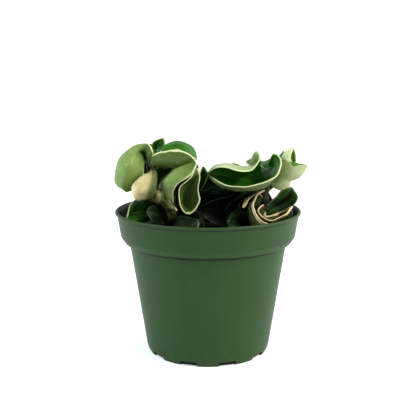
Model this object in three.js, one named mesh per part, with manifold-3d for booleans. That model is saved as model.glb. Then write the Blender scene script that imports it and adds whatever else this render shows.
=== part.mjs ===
// A variegated hindu rope plant in a round nursery pot.
// Millimetres, +Z up. The origin is the middle of the pot's flat underside, and the plant is seen
// from the front along +Y. Every piece is one closed solid: pot, potting mix, three shoots and
// every curled leaf.

import * as THREE from 'three';
import { mergeVertices } from 'three/addons/utils/BufferGeometryUtils.js';
import Module from 'manifold-3d';

const wasm = await Module();
wasm.setup();

// Driving dimensions, mm.
const POT_HEIGHT = 118;
const LIP_RADIUS = 76.2;
const LIP_DROP = 2.4;
const LIP_EDGE = 0.6;
const BAND_TOP_RADIUS = 74.6;
const BAND_LOW_RADIUS = 71.9;
const BAND_LOW = 97.5;
const BEVEL_LOW_RADIUS = 69;
const BEVEL_LOW = 93;
const BODY_TOP_RADIUS = 64.6;
const BODY_TOP = 90.5;
const BODY_LOW_RADIUS = 51.2;
const BODY_LOW = 4;
const FOOT_RADIUS = 49.4;
const FOOT_ROUND = 1.2;
const POT_WALL = 1.8;
const INNER_RISE = 0.9;
const POT_FLOOR = 2.2;
const POT_SEGMENTS = 48;

const DRAIN_COUNT = 10;
const DRAIN_WIDTH = 14;
const DRAIN_HEIGHT = 3.6;
const DRAIN_DEPTH = 9;

const SOIL_TOP = 97;
const SOIL_RADIUS = 67;
const SOIL_MOUND = 3;
const GAP = 0.3;

const STEM_RADIUS = 2.7;
const STEM_SIDES = 8;
const STEM_STEP = 7;

const LEAF_THICKNESS = 1.8;
const MARGIN_SHARE = 0.55;
const NECK_HALF_WIDTH = 1.6;
const NECK_EXTRA = 0.3;
const NECK_FADE = 12;
const TIP_HALF_WIDTH = 0.7;
const CELLS_ACROSS = 6;
const CELLS_ACROSS_GROWN = 4;
const CELLS_PER_ROW = 1.5;
const WIDEST_EARLY = 0.75;
const OUTLINE_FULLNESS = 0.6;
const RUFFLE_WAVES = 8;
const RUFFLE_SHIFT = 2;

// Small helpers.

const group = new THREE.Group();

// A closed mesh as a solid that can be cut and joined.
function toSolid(geometry) {
  const bare = new THREE.BufferGeometry();
  bare.setAttribute('position', geometry.getAttribute('position').clone());
  if (geometry.index) bare.setIndex(geometry.index.clone());
  const merged = mergeVertices(bare, 1e-4);
  return new wasm.Manifold(new wasm.Mesh({
    numProp: 3,
    vertProperties: new Float32Array(merged.getAttribute('position').array),
    triVerts: new Uint32Array(merged.index.array),
  }));
}

// A solid back as a mesh geometry.
function toGeometry(solid) {
  const mesh = solid.getMesh();
  const geometry = new THREE.BufferGeometry();
  geometry.setAttribute('position', new THREE.BufferAttribute(mesh.vertProperties, 3));
  geometry.setIndex(new THREE.BufferAttribute(mesh.triVerts, 1));
  geometry.computeVertexNormals();
  return geometry;
}

function addMesh(name, geometry, material) {
  const mesh = new THREE.Mesh(geometry, material);
  mesh.name = name;
  group.add(mesh);
}

// A turned shape about the pot's axis; the profile is a list of [radius, height].
function turned(profile, segments) {
  const points = profile.map(([radius, height]) => new THREE.Vector2(radius, height));
  return toSolid(new THREE.LatheGeometry(points, segments).rotateX(Math.PI / 2));
}

// A round tube along a smooth route.
function tube(route, radius) {
  const path = new THREE.CatmullRomCurve3(route.map((p) => new THREE.Vector3(...p)), false,
    'catmullrom', 0.5);
  const section = new THREE.Shape();
  section.absarc(0, 0, radius, 0, 2 * Math.PI);
  return toSolid(new THREE.ExtrudeGeometry(section, {
    steps: Math.round(path.getLength() / STEM_STEP),
    curveSegments: STEM_SIDES / 2,
    extrudePath: path,
  }));
}

// Materials.

function paint(color, roughness) {
  return new THREE.MeshStandardMaterial({ color, roughness, metalness: 0 });
}

const MATERIALS = {
  pot: paint(0x3f6247, 0.5),
  soil: paint(0x1d1712, 0.95),
  stem: paint(0x5a5a34, 0.7),
  green: paint(0x6f9a4e, 0.35),
  dark: paint(0x1f4a24, 0.35),
  olive: paint(0x55602c, 0.5),
  cream: paint(0xd9cc94, 0.45),
  brown: paint(0x8fa468, 0.5),
  tan: paint(0xb79b72, 0.55),
};

// Pot: a thin tapered shell with a band and a lip, and drain slots round its foot.

// The corners of the outer wall, from the foot to the band. The inner wall has the same corners,
// one wall thickness further in and a little higher.
const WALL_CORNERS = [
  [BODY_LOW_RADIUS, BODY_LOW],
  [BODY_TOP_RADIUS, BODY_TOP],
  [BEVEL_LOW_RADIUS, BEVEL_LOW],
  [BAND_LOW_RADIUS, BAND_LOW],
];
const INSIDE = [
  [FOOT_RADIUS - POT_WALL, POT_FLOOR],
  ...WALL_CORNERS.map(([radius, height]) => [radius - POT_WALL, height + INNER_RISE]),
  [BAND_TOP_RADIUS - POT_WALL, POT_HEIGHT - LIP_DROP],
  [BAND_TOP_RADIUS - LIP_EDGE, POT_HEIGHT],
];

function potSolid() {
  const outside = [
    [FOOT_RADIUS, 0],
    [BODY_LOW_RADIUS - FOOT_ROUND, FOOT_ROUND],
    ...WALL_CORNERS,
    [BAND_TOP_RADIUS, POT_HEIGHT - LIP_DROP - LIP_EDGE],
    [LIP_RADIUS - LIP_EDGE, POT_HEIGHT - LIP_DROP],
    [LIP_RADIUS, POT_HEIGHT - LIP_DROP + LIP_EDGE],
    [LIP_RADIUS, POT_HEIGHT - LIP_EDGE],
    [LIP_RADIUS - LIP_EDGE, POT_HEIGHT],
  ];
  const inside = [...INSIDE].reverse();
  let pot = turned([[0, 0], ...outside, ...inside, [0, POT_FLOOR]], POT_SEGMENTS);
  const slot = new THREE.BoxGeometry(DRAIN_DEPTH, DRAIN_WIDTH, 2 * DRAIN_HEIGHT);
  slot.translate(BODY_LOW_RADIUS, 0, 0);
  for (let k = 0; k < DRAIN_COUNT; k += 1) {
    const cutter = slot.clone().rotateZ((2 * Math.PI * k) / DRAIN_COUNT);
    pot = pot.subtract(toSolid(cutter));
  }
  return pot;
}

// Shoots: thick ropes of stem, each rising from its own hole in the potting mix.

const SHOOTS = {
  stem_left: [
    [-36, 4, 66], [-36, 4, 96], [-37, 5, 112], [-40, 7, 133], [-47, 5, 148], [-45, 6, 157],
    [-36, 8, 162], [-27, 8, 162], [-17, 8, 158], [-11, 9, 151], [-11, 12, 139], [-10, 11, 127],
  ],
  stem_right: [
    [43, 5, 66], [43, 5, 96], [44, 8, 107], [48, 9, 117], [47, 9, 128], [49, 12, 139], [49, 17, 147],
  ],
  stem_middle: [
    [14, 24, 66], [14, 24, 96], [14, 25, 106], [11, 25, 118], [9, 22, 128], [10, 20, 136],
  ],
};

// Potting mix: fills the pot up to the band, with a plain hole for each shoot.

function soilSolid(grownStems) {
  const side = INSIDE.slice(0, 4).map(([radius, height]) => [radius - GAP, height + GAP]);
  let soil = turned([
    [0, POT_FLOOR + GAP],
    ...side,
    [SOIL_RADIUS, SOIL_TOP],
    [SOIL_RADIUS / 2, SOIL_TOP + SOIL_MOUND / 2],
    [0, SOIL_TOP + SOIL_MOUND],
  ], POT_SEGMENTS);
  grownStems.forEach((stem) => {
    soil = soil.subtract(stem);
  });
  return soil;
}

// Leaves.
// A leaf is a list of rows from its stalk to its tip. A row holds three points: one margin, the
// midrib and the other margin. Each half bulges by `cup` times its width, and the blade is a
// smooth skin over the rows with a thickness that falls towards the margins.

// The large curled leaves that face the front, point by point.
const SHAPED_LEAVES = [
  {
    name: 'leaf_left_dome', look: 'green', cup: [0.2, 0.05],
    base: [-45, 6, 145],
    rows: [
      [[-45, 0, 156], [-48, 5, 154], [-50, 5, 151]],
      [[-44, -8, 166], [-50, 4, 161], [-51, 5, 155]],
      [[-48, -5, 173], [-55, 5, 166], [-52, 1, 158]],
      [[-56, 4, 170], [-59, -14, 164], [-52, -8, 156]],
      [[-66, 10, 160], [-65, -21, 155], [-52, -12, 149]],
      [[-73, 5, 143], [-69, -15, 141], [-58, -8, 138]],
    ],
    tip: [-66, -7, 134],
  },
  {
    name: 'leaf_left_hood', look: 'green', cup: [0.15, 0.3],
    base: [-46, 5, 155],
    rows: [
      [[-40, 12, 156], [-42, 1, 155], [-45, -8, 163]],
      [[-33, 14, 157], [-34, 2, 153], [-37, -9, 167]],
      [[-22, 13, 157], [-25, 1, 153], [-19, -10, 167]],
      [[-16, 11, 152], [-19, 0, 150], [-9, -10, 158]],
      [[-23, 10, 146], [-32, -1, 145], [-14, -13, 148]],
      [[-27, 9, 138], [-39, -3, 139], [-24, -14, 141]],
      [[-27, 7, 128], [-36, -2, 129], [-28, -12, 133]],
    ],
    tip: [-27, -4, 120],
  },
  {
    name: 'leaf_left_spoon', look: 'green', cup: [-0.2, -0.2],
    base: [-10, 8, 152],
    rows: [
      [[-14, -5, 146], [-10, 3, 144], [-7, -4, 145]],
      [[-23, -8, 137], [-15, 5, 133], [-8, -8, 136]],
      [[-23, -12, 127], [-17, 3, 123], [-7, -12, 128]],
      [[-21, -14, 120], [-16, -6, 118], [-10, -14, 121]],
    ],
    tip: [-16, -15, 117],
  },
  {
    name: 'leaf_left_back_fin', look: 'green', cup: [0.15, 0.2],
    base: [-42, 8, 160],
    rows: [
      [[-47, 20, 164], [-44, 21, 162], [-40, 17, 163]],
      [[-46, 20, 171], [-42, 23, 169], [-36, 16, 169]],
    ],
    tip: [-37, 17, 175],
  },
  {
    name: 'leaf_left_crown', look: 'green', cup: [-0.2, -0.2],
    base: [-34, 8, 162],
    rows: [
      [[-35, 13, 167], [-35, 6, 169], [-36, -4, 165]],
      [[-23, 19, 169], [-25, 8, 171], [-25, -4, 167]],
      [[-14, 16, 165], [-16, 6, 168], [-16, -4, 163]],
    ],
    tip: [-9, 2, 159],
  },
  {
    name: 'leaf_left_small', look: 'green', cup: [0.15, 0.15],
    base: [-10, 11, 128],
    rows: [
      [[-8, 3, 139], [-6, 8, 136], [-3, 2, 140]],
      [[-7, 2, 147], [-4, 6, 146], [0, 0, 147]],
    ],
    tip: [-4, 3, 153],
  },
  {
    name: 'leaf_left_cream', look: 'cream', cup: [0.26, 0.2],
    base: [-46, 5, 151],
    rows: [
      [[-48, -6, 149], [-45, -11, 148], [-42, -5, 148]],
      [[-54, -12, 146], [-48, -23, 144], [-43, -6, 143]],
      [[-59, -13, 139], [-51, -30, 139], [-44, -6, 136]],
      [[-58, -13, 132], [-51, -25, 132], [-47, -8, 131]],
    ],
    tip: [-52, -15, 129],
  },
  {
    name: 'leaf_left_low', look: 'green', cup: [-0.12, -0.12],
    base: [-38, 6, 116],
    rows: [
      [[-48, -16, 112], [-48, -6, 118], [-47, -7, 126]],
      [[-56, -27, 109], [-56, -12, 118], [-55, -15, 130]],
      [[-62, -29, 111], [-62, -17, 117], [-62, -20, 126]],
    ],
    tip: [-65, -24, 116],
  },
  {
    name: 'leaf_left_folded', look: 'dark', cup: [0.1, 0.1],
    base: [-37, 5, 111],
    rows: [
      [[-38, -26, 110], [-39, -14, 114], [-41, -12, 121]],
      [[-41, -33, 112], [-42, -23, 118], [-44, -17, 124]],
      [[-44, -35, 116], [-45, -28, 120], [-47, -23, 124]],
    ],
    tip: [-48, -30, 121],
  },
  {
    name: 'leaf_left_belly', look: 'olive', cup: [0.1, 0.1],
    base: [-37, 5, 106],
    rows: [
      [[-36, -8, 106], [-32, -11, 108], [-28, -6, 108]],
      [[-37, -12, 113], [-32, -18, 115], [-25, -10, 115]],
      [[-39, -11, 118], [-33, -18, 121], [-26, -10, 120]],
      [[-40, -9, 122], [-36, -15, 124], [-31, -10, 123]],
    ],
    tip: [-38, -12, 125],
  },
  {
    name: 'leaf_left_tan', look: 'tan', cup: [0.15, 0.15],
    base: [-39, 7, 128],
    rows: [
      [[-37, -3, 127], [-35, -8, 127], [-34, -4, 127]],
      [[-36, -11, 125], [-33, -16, 126], [-31, -13, 127]],
      [[-33, -17, 122], [-30, -21, 123], [-28, -18, 124]],
    ],
    tip: [-25, -17, 120],
  },
  {
    name: 'leaf_left_bud', look: 'cream', cup: [0.24, 0.24],
    base: [-40, 7, 134],
    rows: [
      [[-44, -6, 131], [-40, -15, 134], [-37, -8, 132]],
      [[-43, -7, 127], [-40, -16, 128], [-37, -9, 128]],
    ],
    tip: [-40, -11, 125],
  },
  {
    name: 'leaf_left_front_low', look: 'dark', cup: [-0.15, -0.15],
    base: [-36, 4, 102],
    rows: [
      [[-25, -36, 103], [-25, -24, 107], [-27, -16, 114]],
      [[-16, -45, 105], [-17, -32, 109], [-20, -23, 117]],
      [[-10, -47, 107], [-12, -37, 112], [-12, -32, 117]],
    ],
    tip: [-7, -40, 115],
  },
  {
    name: 'leaf_right_long', look: 'green', cup: [0.22, 0.35],
    base: [49, 17, 149],
    rows: [
      [[51, 7, 158], [48, 12, 148], [37, 11, 160]],
      [[54, -2, 165], [48, 7, 145], [40, 4, 166]],
      [[59, -12, 159], [44, 6, 143], [42, -3, 161]],
      [[54, -19, 148], [35, 8, 141], [36, -9, 152]],
      [[35, -22, 141], [24, 8, 142], [26, -11, 151]],
      [[20, -20, 140], [12, 7, 145], [15, -10, 154]],
      [[10, -13, 142], [5, 5, 146], [7, -6, 153]],
      [[4, -4, 145], [2, 4, 146], [2, -1, 150]],
    ],
    tip: [0, 2, 147],
  },
  {
    name: 'leaf_right_shade', look: 'dark', cup: [-0.15, -0.15],
    base: [10, 20, 134],
    rows: [
      [[12, 8, 130], [11, 17, 135], [12, 14, 146]],
      [[4, 8, 129], [3, 19, 137], [4, 15, 146]],
      [[-1, 10, 129], [-1, 18, 136], [-1, 14, 145]],
      [[-5, 13, 132], [-5, 17, 136], [-4, 14, 142]],
    ],
    tip: [-6, 16, 136],
  },
  {
    name: 'leaf_right_star', look: 'brown', cup: [0.15, 0.15],
    base: [49, 12, 140],
    rows: [
      [[60, -1, 134], [54, 7, 139], [61, 15, 137]],
      [[72, -6, 142], [59, 5, 148], [68, 15, 143]],
      [[80, -11, 156], [60, 3, 156], [74, 11, 152]],
      [[69, -10, 154], [62, 1, 163], [73, 7, 158]],
      [[67, -7, 162], [67, 0, 167], [72, 3, 163]],
    ],
    tip: [70, 0, 169],
  },
  {
    name: 'leaf_right_wing', look: 'green', cup: [-0.15, -0.15],
    base: [46, 9, 111],
    rows: [
      [[51, 7, 122], [55, 13, 118], [61, 8, 116]],
      [[56, 4, 128], [62, 14, 122], [70, 5, 120]],
      [[60, 3, 133], [67, 9, 127], [73, 1, 124]],
      [[65, 1, 136], [69, 4, 133], [74, 0, 129]],
    ],
    tip: [69, 3, 136],
  },
  {
    name: 'leaf_right_scroll', look: 'tan', cup: [0.12, 0.12],
    base: [47, 9, 116],
    rows: [
      [[48, -1, 114], [44, -3, 117], [45, -6, 123]],
      [[47, -8, 114], [42, -13, 114], [40, -19, 121]],
      [[51, -7, 114], [47, -17, 111], [43, -25, 117]],
      [[55, -4, 115], [54, -15, 111], [51, -26, 114]],
      [[59, -1, 116], [61, -11, 113], [61, -23, 118]],
    ],
    tip: [68, -13, 123],
  },
  {
    name: 'leaf_right_bowl', look: 'tan', cup: [0.15, 0.15],
    base: [47, 9, 125],
    rows: [
      [[45, 9, 117], [42, 5, 123], [41, -1, 131]],
      [[41, 7, 109], [35, -6, 118], [37, -18, 126]],
      [[41, 0, 105], [36, -15, 111], [38, -27, 120]],
      [[45, -10, 104], [40, -23, 107], [42, -33, 115]],
    ],
    tip: [47, -32, 112],
  },
  {
    name: 'leaf_right_dry', look: 'cream', cup: [0.1, 0.1],
    base: [48, 9, 133],
    rows: [
      [[35, -6, 129], [33, -3, 128], [32, 1, 128]],
      [[31, -11, 125], [30, -8, 124], [29, -5, 124]],
    ],
    tip: [28, -14, 122],
  },
  {
    name: 'leaf_right_low', look: 'dark', cup: [-0.15, -0.15],
    base: [43, 6, 102],
    rows: [
      [[28, -14, 101], [30, 0, 105], [33, 7, 114]],
      [[23, -26, 103], [23, -10, 109], [25, -2, 117]],
      [[18, -29, 105], [18, -18, 111], [18, -11, 116]],
    ],
    tip: [15, -20, 111],
  },
  {
    name: 'leaf_left_back_b', look: 'dark', cup: [0.1, 0.1],
    base: [-42, 8, 139],
    rows: [
      [[-52, 13, 145], [-47, 17, 147], [-43, 13, 145]],
      [[-54, 17, 155], [-49, 22, 156], [-43, 18, 154]],
      [[-53, 22, 163], [-49, 28, 164], [-44, 25, 162]],
      [[-51, 27, 167], [-49, 29, 167], [-46, 27, 166]],
    ],
    tip: [-49, 28, 169],
  },
  {
    name: 'leaf_left_back_f', look: 'dark', cup: [0.1, 0.1],
    base: [-11, 13, 138],
    rows: [
      [[-15, 17, 126], [-15, 21, 134], [-15, 18, 144]],
      [[-23, 17, 120], [-23, 23, 130], [-23, 19, 145]],
      [[-30, 16, 120], [-30, 21, 131], [-29, 18, 141]],
    ],
    tip: [-34, 17, 130],
  },
  {
    name: 'leaf_middle_back', look: 'dark', cup: [0.1, 0.1],
    base: [12, 22, 127],
    rows: [
      [[20, 22, 133], [20, 27, 127], [19, 22, 121]],
      [[32, 25, 133], [32, 30, 126], [32, 25, 118]],
      [[42, 24, 132], [42, 29, 125], [41, 24, 119]],
    ],
    tip: [48, 25, 124],
  },
];

// The leaves deeper in each rope follow one rule: a blade of given length and width that leaves
// the stem at `base`, heading round +Z and rising by given angles, then rolls about its own
// midrib, bends back by `bend` along its length, folds its halves up by `fold` and twists.
const GROWN_LEAVES = [
  { name: 'leaf_middle_front', look: 'dark', base: [14, 25, 106], heading: -150, rise: 10,
    roll: 75, length: 50, width: 30, bend: 80, fold: 50, twist: -25, ruffle: 6 },
  { name: 'leaf_middle_right', look: 'dark', base: [13, 25, 111], heading: -75, rise: 20,
    roll: -90, length: 42, width: 32, bend: 100, fold: 30, twist: -50, ruffle: 4 },
  { name: 'leaf_middle_left', look: 'dark', base: [10, 23, 123], heading: -153, rise: 10,
    roll: -5, length: 41, width: 33, bend: 80, fold: 50, twist: 60, ruffle: 20 },
  { name: 'leaf_middle_top', look: 'green', base: [10, 23, 124], heading: 60, rise: 10,
    roll: -5, length: 43, width: 36, bend: 45, fold: 40, twist: -20, ruffle: 0 },
  { name: 'leaf_middle_far', look: 'green', base: [9, 21, 130], heading: 50, rise: 50,
    roll: -20, length: 39, width: 32, bend: 55, fold: 10, twist: 25, ruffle: 20 },
  { name: 'leaf_left_back_a', look: 'green', base: [-42, 6, 140], heading: 95, rise: 55,
    roll: -5, length: 51, width: 31, bend: 155, fold: 15, twist: 10, ruffle: 0 },
  { name: 'leaf_left_back_c', look: 'green', base: [-26, 7, 161], heading: 145, rise: 15,
    roll: -45, length: 52, width: 30, bend: 110, fold: 10, twist: 60, ruffle: 10 },
  { name: 'leaf_left_back_d', look: 'green', base: [-19, 8, 159], heading: 90, rise: -20,
    roll: -10, length: 52, width: 31, bend: 60, fold: 60, twist: -35, ruffle: 8 },
  { name: 'leaf_left_back_e', look: 'dark', base: [-37, 6, 121], heading: 80, rise: -15,
    roll: -70, length: 52, width: 36, bend: 60, fold: 45, twist: 10, ruffle: 2 },
  { name: 'leaf_right_back_a', look: 'green', base: [49, 15, 144], heading: 90, rise: 25,
    roll: 0, length: 52, width: 36, bend: 90, fold: 10, twist: 60, ruffle: 12 },
  { name: 'leaf_right_back_b', look: 'dark', base: [49, 9, 136], heading: -170, rise: 10,
    roll: -25, length: 47, width: 31, bend: 125, fold: 15, twist: 30, ruffle: 0 },
  { name: 'leaf_right_back_c', look: 'green', base: [47, 9, 129], heading: 115, rise: 45,
    roll: -10, length: 48, width: 30, bend: 145, fold: 10, twist: 35, ruffle: 12 },
  { name: 'leaf_right_back_d', look: 'dark', base: [46, 9, 111], heading: 110, rise: 30,
    roll: -30, length: 40, width: 31, bend: 40, fold: 10, twist: -10, ruffle: 20 },
  { name: 'leaf_right_back_e', look: 'dark', base: [44, 8, 106], heading: -15, rise: 30,
    roll: 0, length: 28, width: 36, bend: 40, fold: 10, twist: 40, ruffle: 0 },
  { name: 'leaf_right_back_f', look: 'green', base: [50, 16, 147], heading: 75, rise: 55,
    roll: 5, length: 44, width: 30, bend: 130, fold: 10, twist: -35, ruffle: 16 },
];

const ROW_PLACES = [0.16, 0.38, 0.6, 0.8, 0.94];
const GROWN_CUP = [0.15, 0.15];
const degrees = THREE.MathUtils.degToRad;

function grownLeaf({
  name, look, base, heading, rise, roll, length, width, bend, fold, twist, ruffle,
}) {
  const arc = degrees(bend);
  const place = new THREE.Matrix4()
    .makeTranslation(...base)
    .multiply(new THREE.Matrix4().makeRotationZ(degrees(heading)))
    .multiply(new THREE.Matrix4().makeRotationY(-degrees(rise)))
    .multiply(new THREE.Matrix4().makeRotationX(degrees(roll)));
  const at = (point) => point.applyMatrix4(place).toArray();
  const rib = (u) => new THREE.Vector3((length * Math.sin(arc * u)) / arc, 0,
    (length * (Math.cos(arc * u) - 1)) / arc);
  const rows = ROW_PLACES.map((u) => {
    const ahead = new THREE.Vector3(Math.cos(arc * u), 0, -Math.sin(arc * u));
    const side = new THREE.Vector3(0, 1, 0).applyAxisAngle(ahead, degrees(twist) * u);
    const up = new THREE.Vector3().crossVectors(ahead, side);
    const half = (width / 2) * Math.sin(Math.PI * u ** WIDEST_EARLY) ** OUTLINE_FULLNESS;
    const margin = (sign) => {
      const lift = degrees(fold + ruffle * Math.sin(RUFFLE_WAVES * u + RUFFLE_SHIFT * sign));
      return rib(u)
        .addScaledVector(side, sign * half * Math.cos(lift))
        .addScaledVector(up, half * Math.sin(lift));
    };
    return [at(margin(1)), at(rib(u)), at(margin(-1))];
  });
  return { name, look, grown: true, cup: GROWN_CUP, base, rows, tip: at(rib(1)) };
}

const spline = (points) => new THREE.CatmullRomCurve3(points, false, 'catmullrom', 0.5);

// The five lines that run along a leaf: margin, half, midrib, half, margin.
function leafLines({ base, rows, tip, cup }) {
  const across = ([left, , right]) => right.clone().sub(left).normalize();
  const end = (point, like, half) => {
    const middle = new THREE.Vector3(...point);
    const side = across(like).multiplyScalar(half);
    return [middle.clone().sub(side), middle, middle.clone().add(side)];
  };
  const inner = rows.map((row) => row.map((p) => new THREE.Vector3(...p)));
  const all = [end(base, inner[0], NECK_HALF_WIDTH), ...inner,
    end(tip, inner[inner.length - 1], TIP_HALF_WIDTH)];
  const bulge = (from, to, along, share) => {
    const span = to.clone().sub(from);
    const out = span.clone().cross(along).normalize();
    return from.clone().add(to).multiplyScalar(0.5).addScaledVector(out, -share * span.length());
  };
  const five = all.map(([left, rib, right], k) => {
    const before = all[Math.max(k - 1, 0)][1];
    const after = all[Math.min(k + 1, all.length - 1)][1];
    const along = after.clone().sub(before).normalize();
    return [left, bulge(left, rib, along, cup[0]), rib, bulge(rib, right, along, cup[1]), right];
  });
  return [0, 1, 2, 3, 4].map((line) => spline(five.map((row) => row[line])));
}

// The blade as one closed skin: two faces a little apart, joined by a strip round the margin.
// `extra` thickens it, for the room that a neighbour has to keep.
function bladeSolid(leaf, extra = 0) {
  const lines = leafLines(leaf);
  const cellsAlong = Math.round(CELLS_PER_ROW * (leaf.rows.length + 1));
  const cellsAcross = leaf.grown ? CELLS_ACROSS_GROWN : CELLS_ACROSS;
  const grid = [];
  for (let i = 0; i <= cellsAlong; i += 1) {
    const section = spline(lines.map((line) => line.getPoint(i / cellsAlong)));
    grid.push(Array.from({ length: cellsAcross + 1 },
      (_, j) => section.getPoint(j / cellsAcross)));
  }
  const positions = [];
  [1, -1].forEach((face) => {
    for (let i = 0; i <= cellsAlong; i += 1) {
      for (let j = 0; j <= cellsAcross; j += 1) {
        const along = grid[Math.min(i + 1, cellsAlong)][j].clone().sub(grid[Math.max(i - 1, 0)][j]);
        const across = grid[i][Math.min(j + 1, cellsAcross)].clone()
          .sub(grid[i][Math.max(j - 1, 0)]);
        const normal = across.cross(along).normalize();
        const outward = Math.abs((2 * j) / cellsAcross - 1) ** 3;
        const neck = 1 + NECK_EXTRA * Math.exp(-(((NECK_FADE * i) / cellsAlong) ** 2));
        const thick = LEAF_THICKNESS * (1 - (1 - MARGIN_SHARE) * outward) * neck + extra;
        positions.push(...grid[i][j].clone().addScaledVector(normal, (face * thick) / 2).toArray());
      }
    }
  });
  const width = cellsAcross + 1;
  const under = width * (cellsAlong + 1);
  const at = (i, j) => i * width + j;
  const index = [];
  for (let i = 0; i < cellsAlong; i += 1) {
    for (let j = 0; j < cellsAcross; j += 1) {
      const [a, b, c, d] = [at(i, j), at(i, j + 1), at(i + 1, j + 1), at(i + 1, j)];
      index.push(a, b, c, a, c, d);
      index.push(a + under, c + under, b + under, a + under, d + under, c + under);
    }
  }
  const rim = [];
  for (let j = 0; j < cellsAcross; j += 1) rim.push(at(0, j));
  for (let i = 0; i < cellsAlong; i += 1) rim.push(at(i, cellsAcross));
  for (let j = cellsAcross; j > 0; j -= 1) rim.push(at(cellsAlong, j));
  for (let i = cellsAlong; i > 0; i -= 1) rim.push(at(i, 0));
  rim.forEach((a, k) => {
    const b = rim[(k + 1) % rim.length];
    index.push(b, a, a + under, b, a + under, b + under);
  });
  const geometry = new THREE.BufferGeometry();
  geometry.setAttribute('position', new THREE.Float32BufferAttribute(positions, 3));
  geometry.setIndex(index);
  return toSolid(geometry);
}

// The plant.

addMesh('pot', toGeometry(potSolid()), MATERIALS.pot);

const grownStems = Object.values(SHOOTS).map((route) => tube(route, STEM_RADIUS + GAP));
Object.entries(SHOOTS).forEach(([name, route]) => {
  addMesh(name, toGeometry(tube(route, STEM_RADIUS)), MATERIALS.stem);
});
addMesh('soil', toGeometry(soilSolid(grownStems)), MATERIALS.soil);

// Each leaf stops short of the stems, and where two leaves meet the later one gives way.
const placed = [];
[...SHAPED_LEAVES, ...GROWN_LEAVES.map(grownLeaf)].forEach((leaf) => {
  let blade = bladeSolid(leaf);
  [...grownStems, ...placed].forEach((neighbour) => {
    if (!blade.intersect(neighbour).isEmpty()) blade = blade.subtract(neighbour);
  });
  const [largest] = blade.decompose().sort((a, b) => b.volume() - a.volume());
  addMesh(leaf.name, toGeometry(largest), MATERIALS[leaf.look]);
  placed.push(bladeSolid(leaf, 2 * GAP).add(largest));
});

export default group;
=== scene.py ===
# %% [markdown]
# # A variegated rope plant in its nursery pot
#
# The plant is a slow trailing climber. Its leaves are thick and waxy, and every one of them is
# curled, cupped or folded back on itself, so that a shoot looks like a rope of leaves. They are
# dark and glossy above, pale and dull below, and edged with cream.
#
# The file rebuilds the piece in this order: the view and the light, then helpers for materials,
# then the pot, the potting mix, the stems and the leaves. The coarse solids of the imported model
# say where everything stands, and each is replaced by a finer mesh of the same form.

# %% Load the model
import math

import bmesh
import bpy
import numpy as np
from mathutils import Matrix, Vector, noise


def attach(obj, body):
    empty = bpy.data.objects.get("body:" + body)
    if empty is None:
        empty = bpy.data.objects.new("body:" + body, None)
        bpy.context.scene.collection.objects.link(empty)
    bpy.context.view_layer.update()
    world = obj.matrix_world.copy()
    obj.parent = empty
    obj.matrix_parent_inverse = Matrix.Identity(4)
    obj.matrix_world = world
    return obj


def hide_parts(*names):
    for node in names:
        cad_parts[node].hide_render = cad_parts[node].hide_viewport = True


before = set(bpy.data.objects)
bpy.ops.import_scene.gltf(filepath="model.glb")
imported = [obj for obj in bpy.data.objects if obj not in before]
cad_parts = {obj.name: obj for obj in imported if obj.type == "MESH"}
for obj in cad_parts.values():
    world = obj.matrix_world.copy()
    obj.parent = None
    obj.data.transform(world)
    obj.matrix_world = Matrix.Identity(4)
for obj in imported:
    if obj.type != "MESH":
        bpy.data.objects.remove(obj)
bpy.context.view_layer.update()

# %% [markdown]
# ## Materials as arithmetic
#
# A procedural material is a formula, so it is easier to read when it is written as one. `Wire`
# stands for one output socket and turns +, -, * and / into Math nodes. `Graph` adds every other
# node through a single method: the node's type, its settings, and what its sockets get.

# %% Wires and graphs
def operator_pair(operation):
    """A Math operation in both orders, so that 1 - wire works as well as wire - 1."""
    def plain(self, other):
        return self.graph.math(operation, self, other)

    def reflected(self, other):
        return self.graph.math(operation, other, self)

    return plain, reflected


class Wire:
    """One output socket of a node, used like a number in a formula."""

    def __init__(self, graph, socket):
        self.graph = graph
        self.socket = socket

    __add__, __radd__ = operator_pair("ADD")
    __sub__, __rsub__ = operator_pair("SUBTRACT")
    __mul__, __rmul__ = operator_pair("MULTIPLY")
    __truediv__, __rtruediv__ = operator_pair("DIVIDE")

    def __neg__(self):
        return self * -1.0


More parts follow.
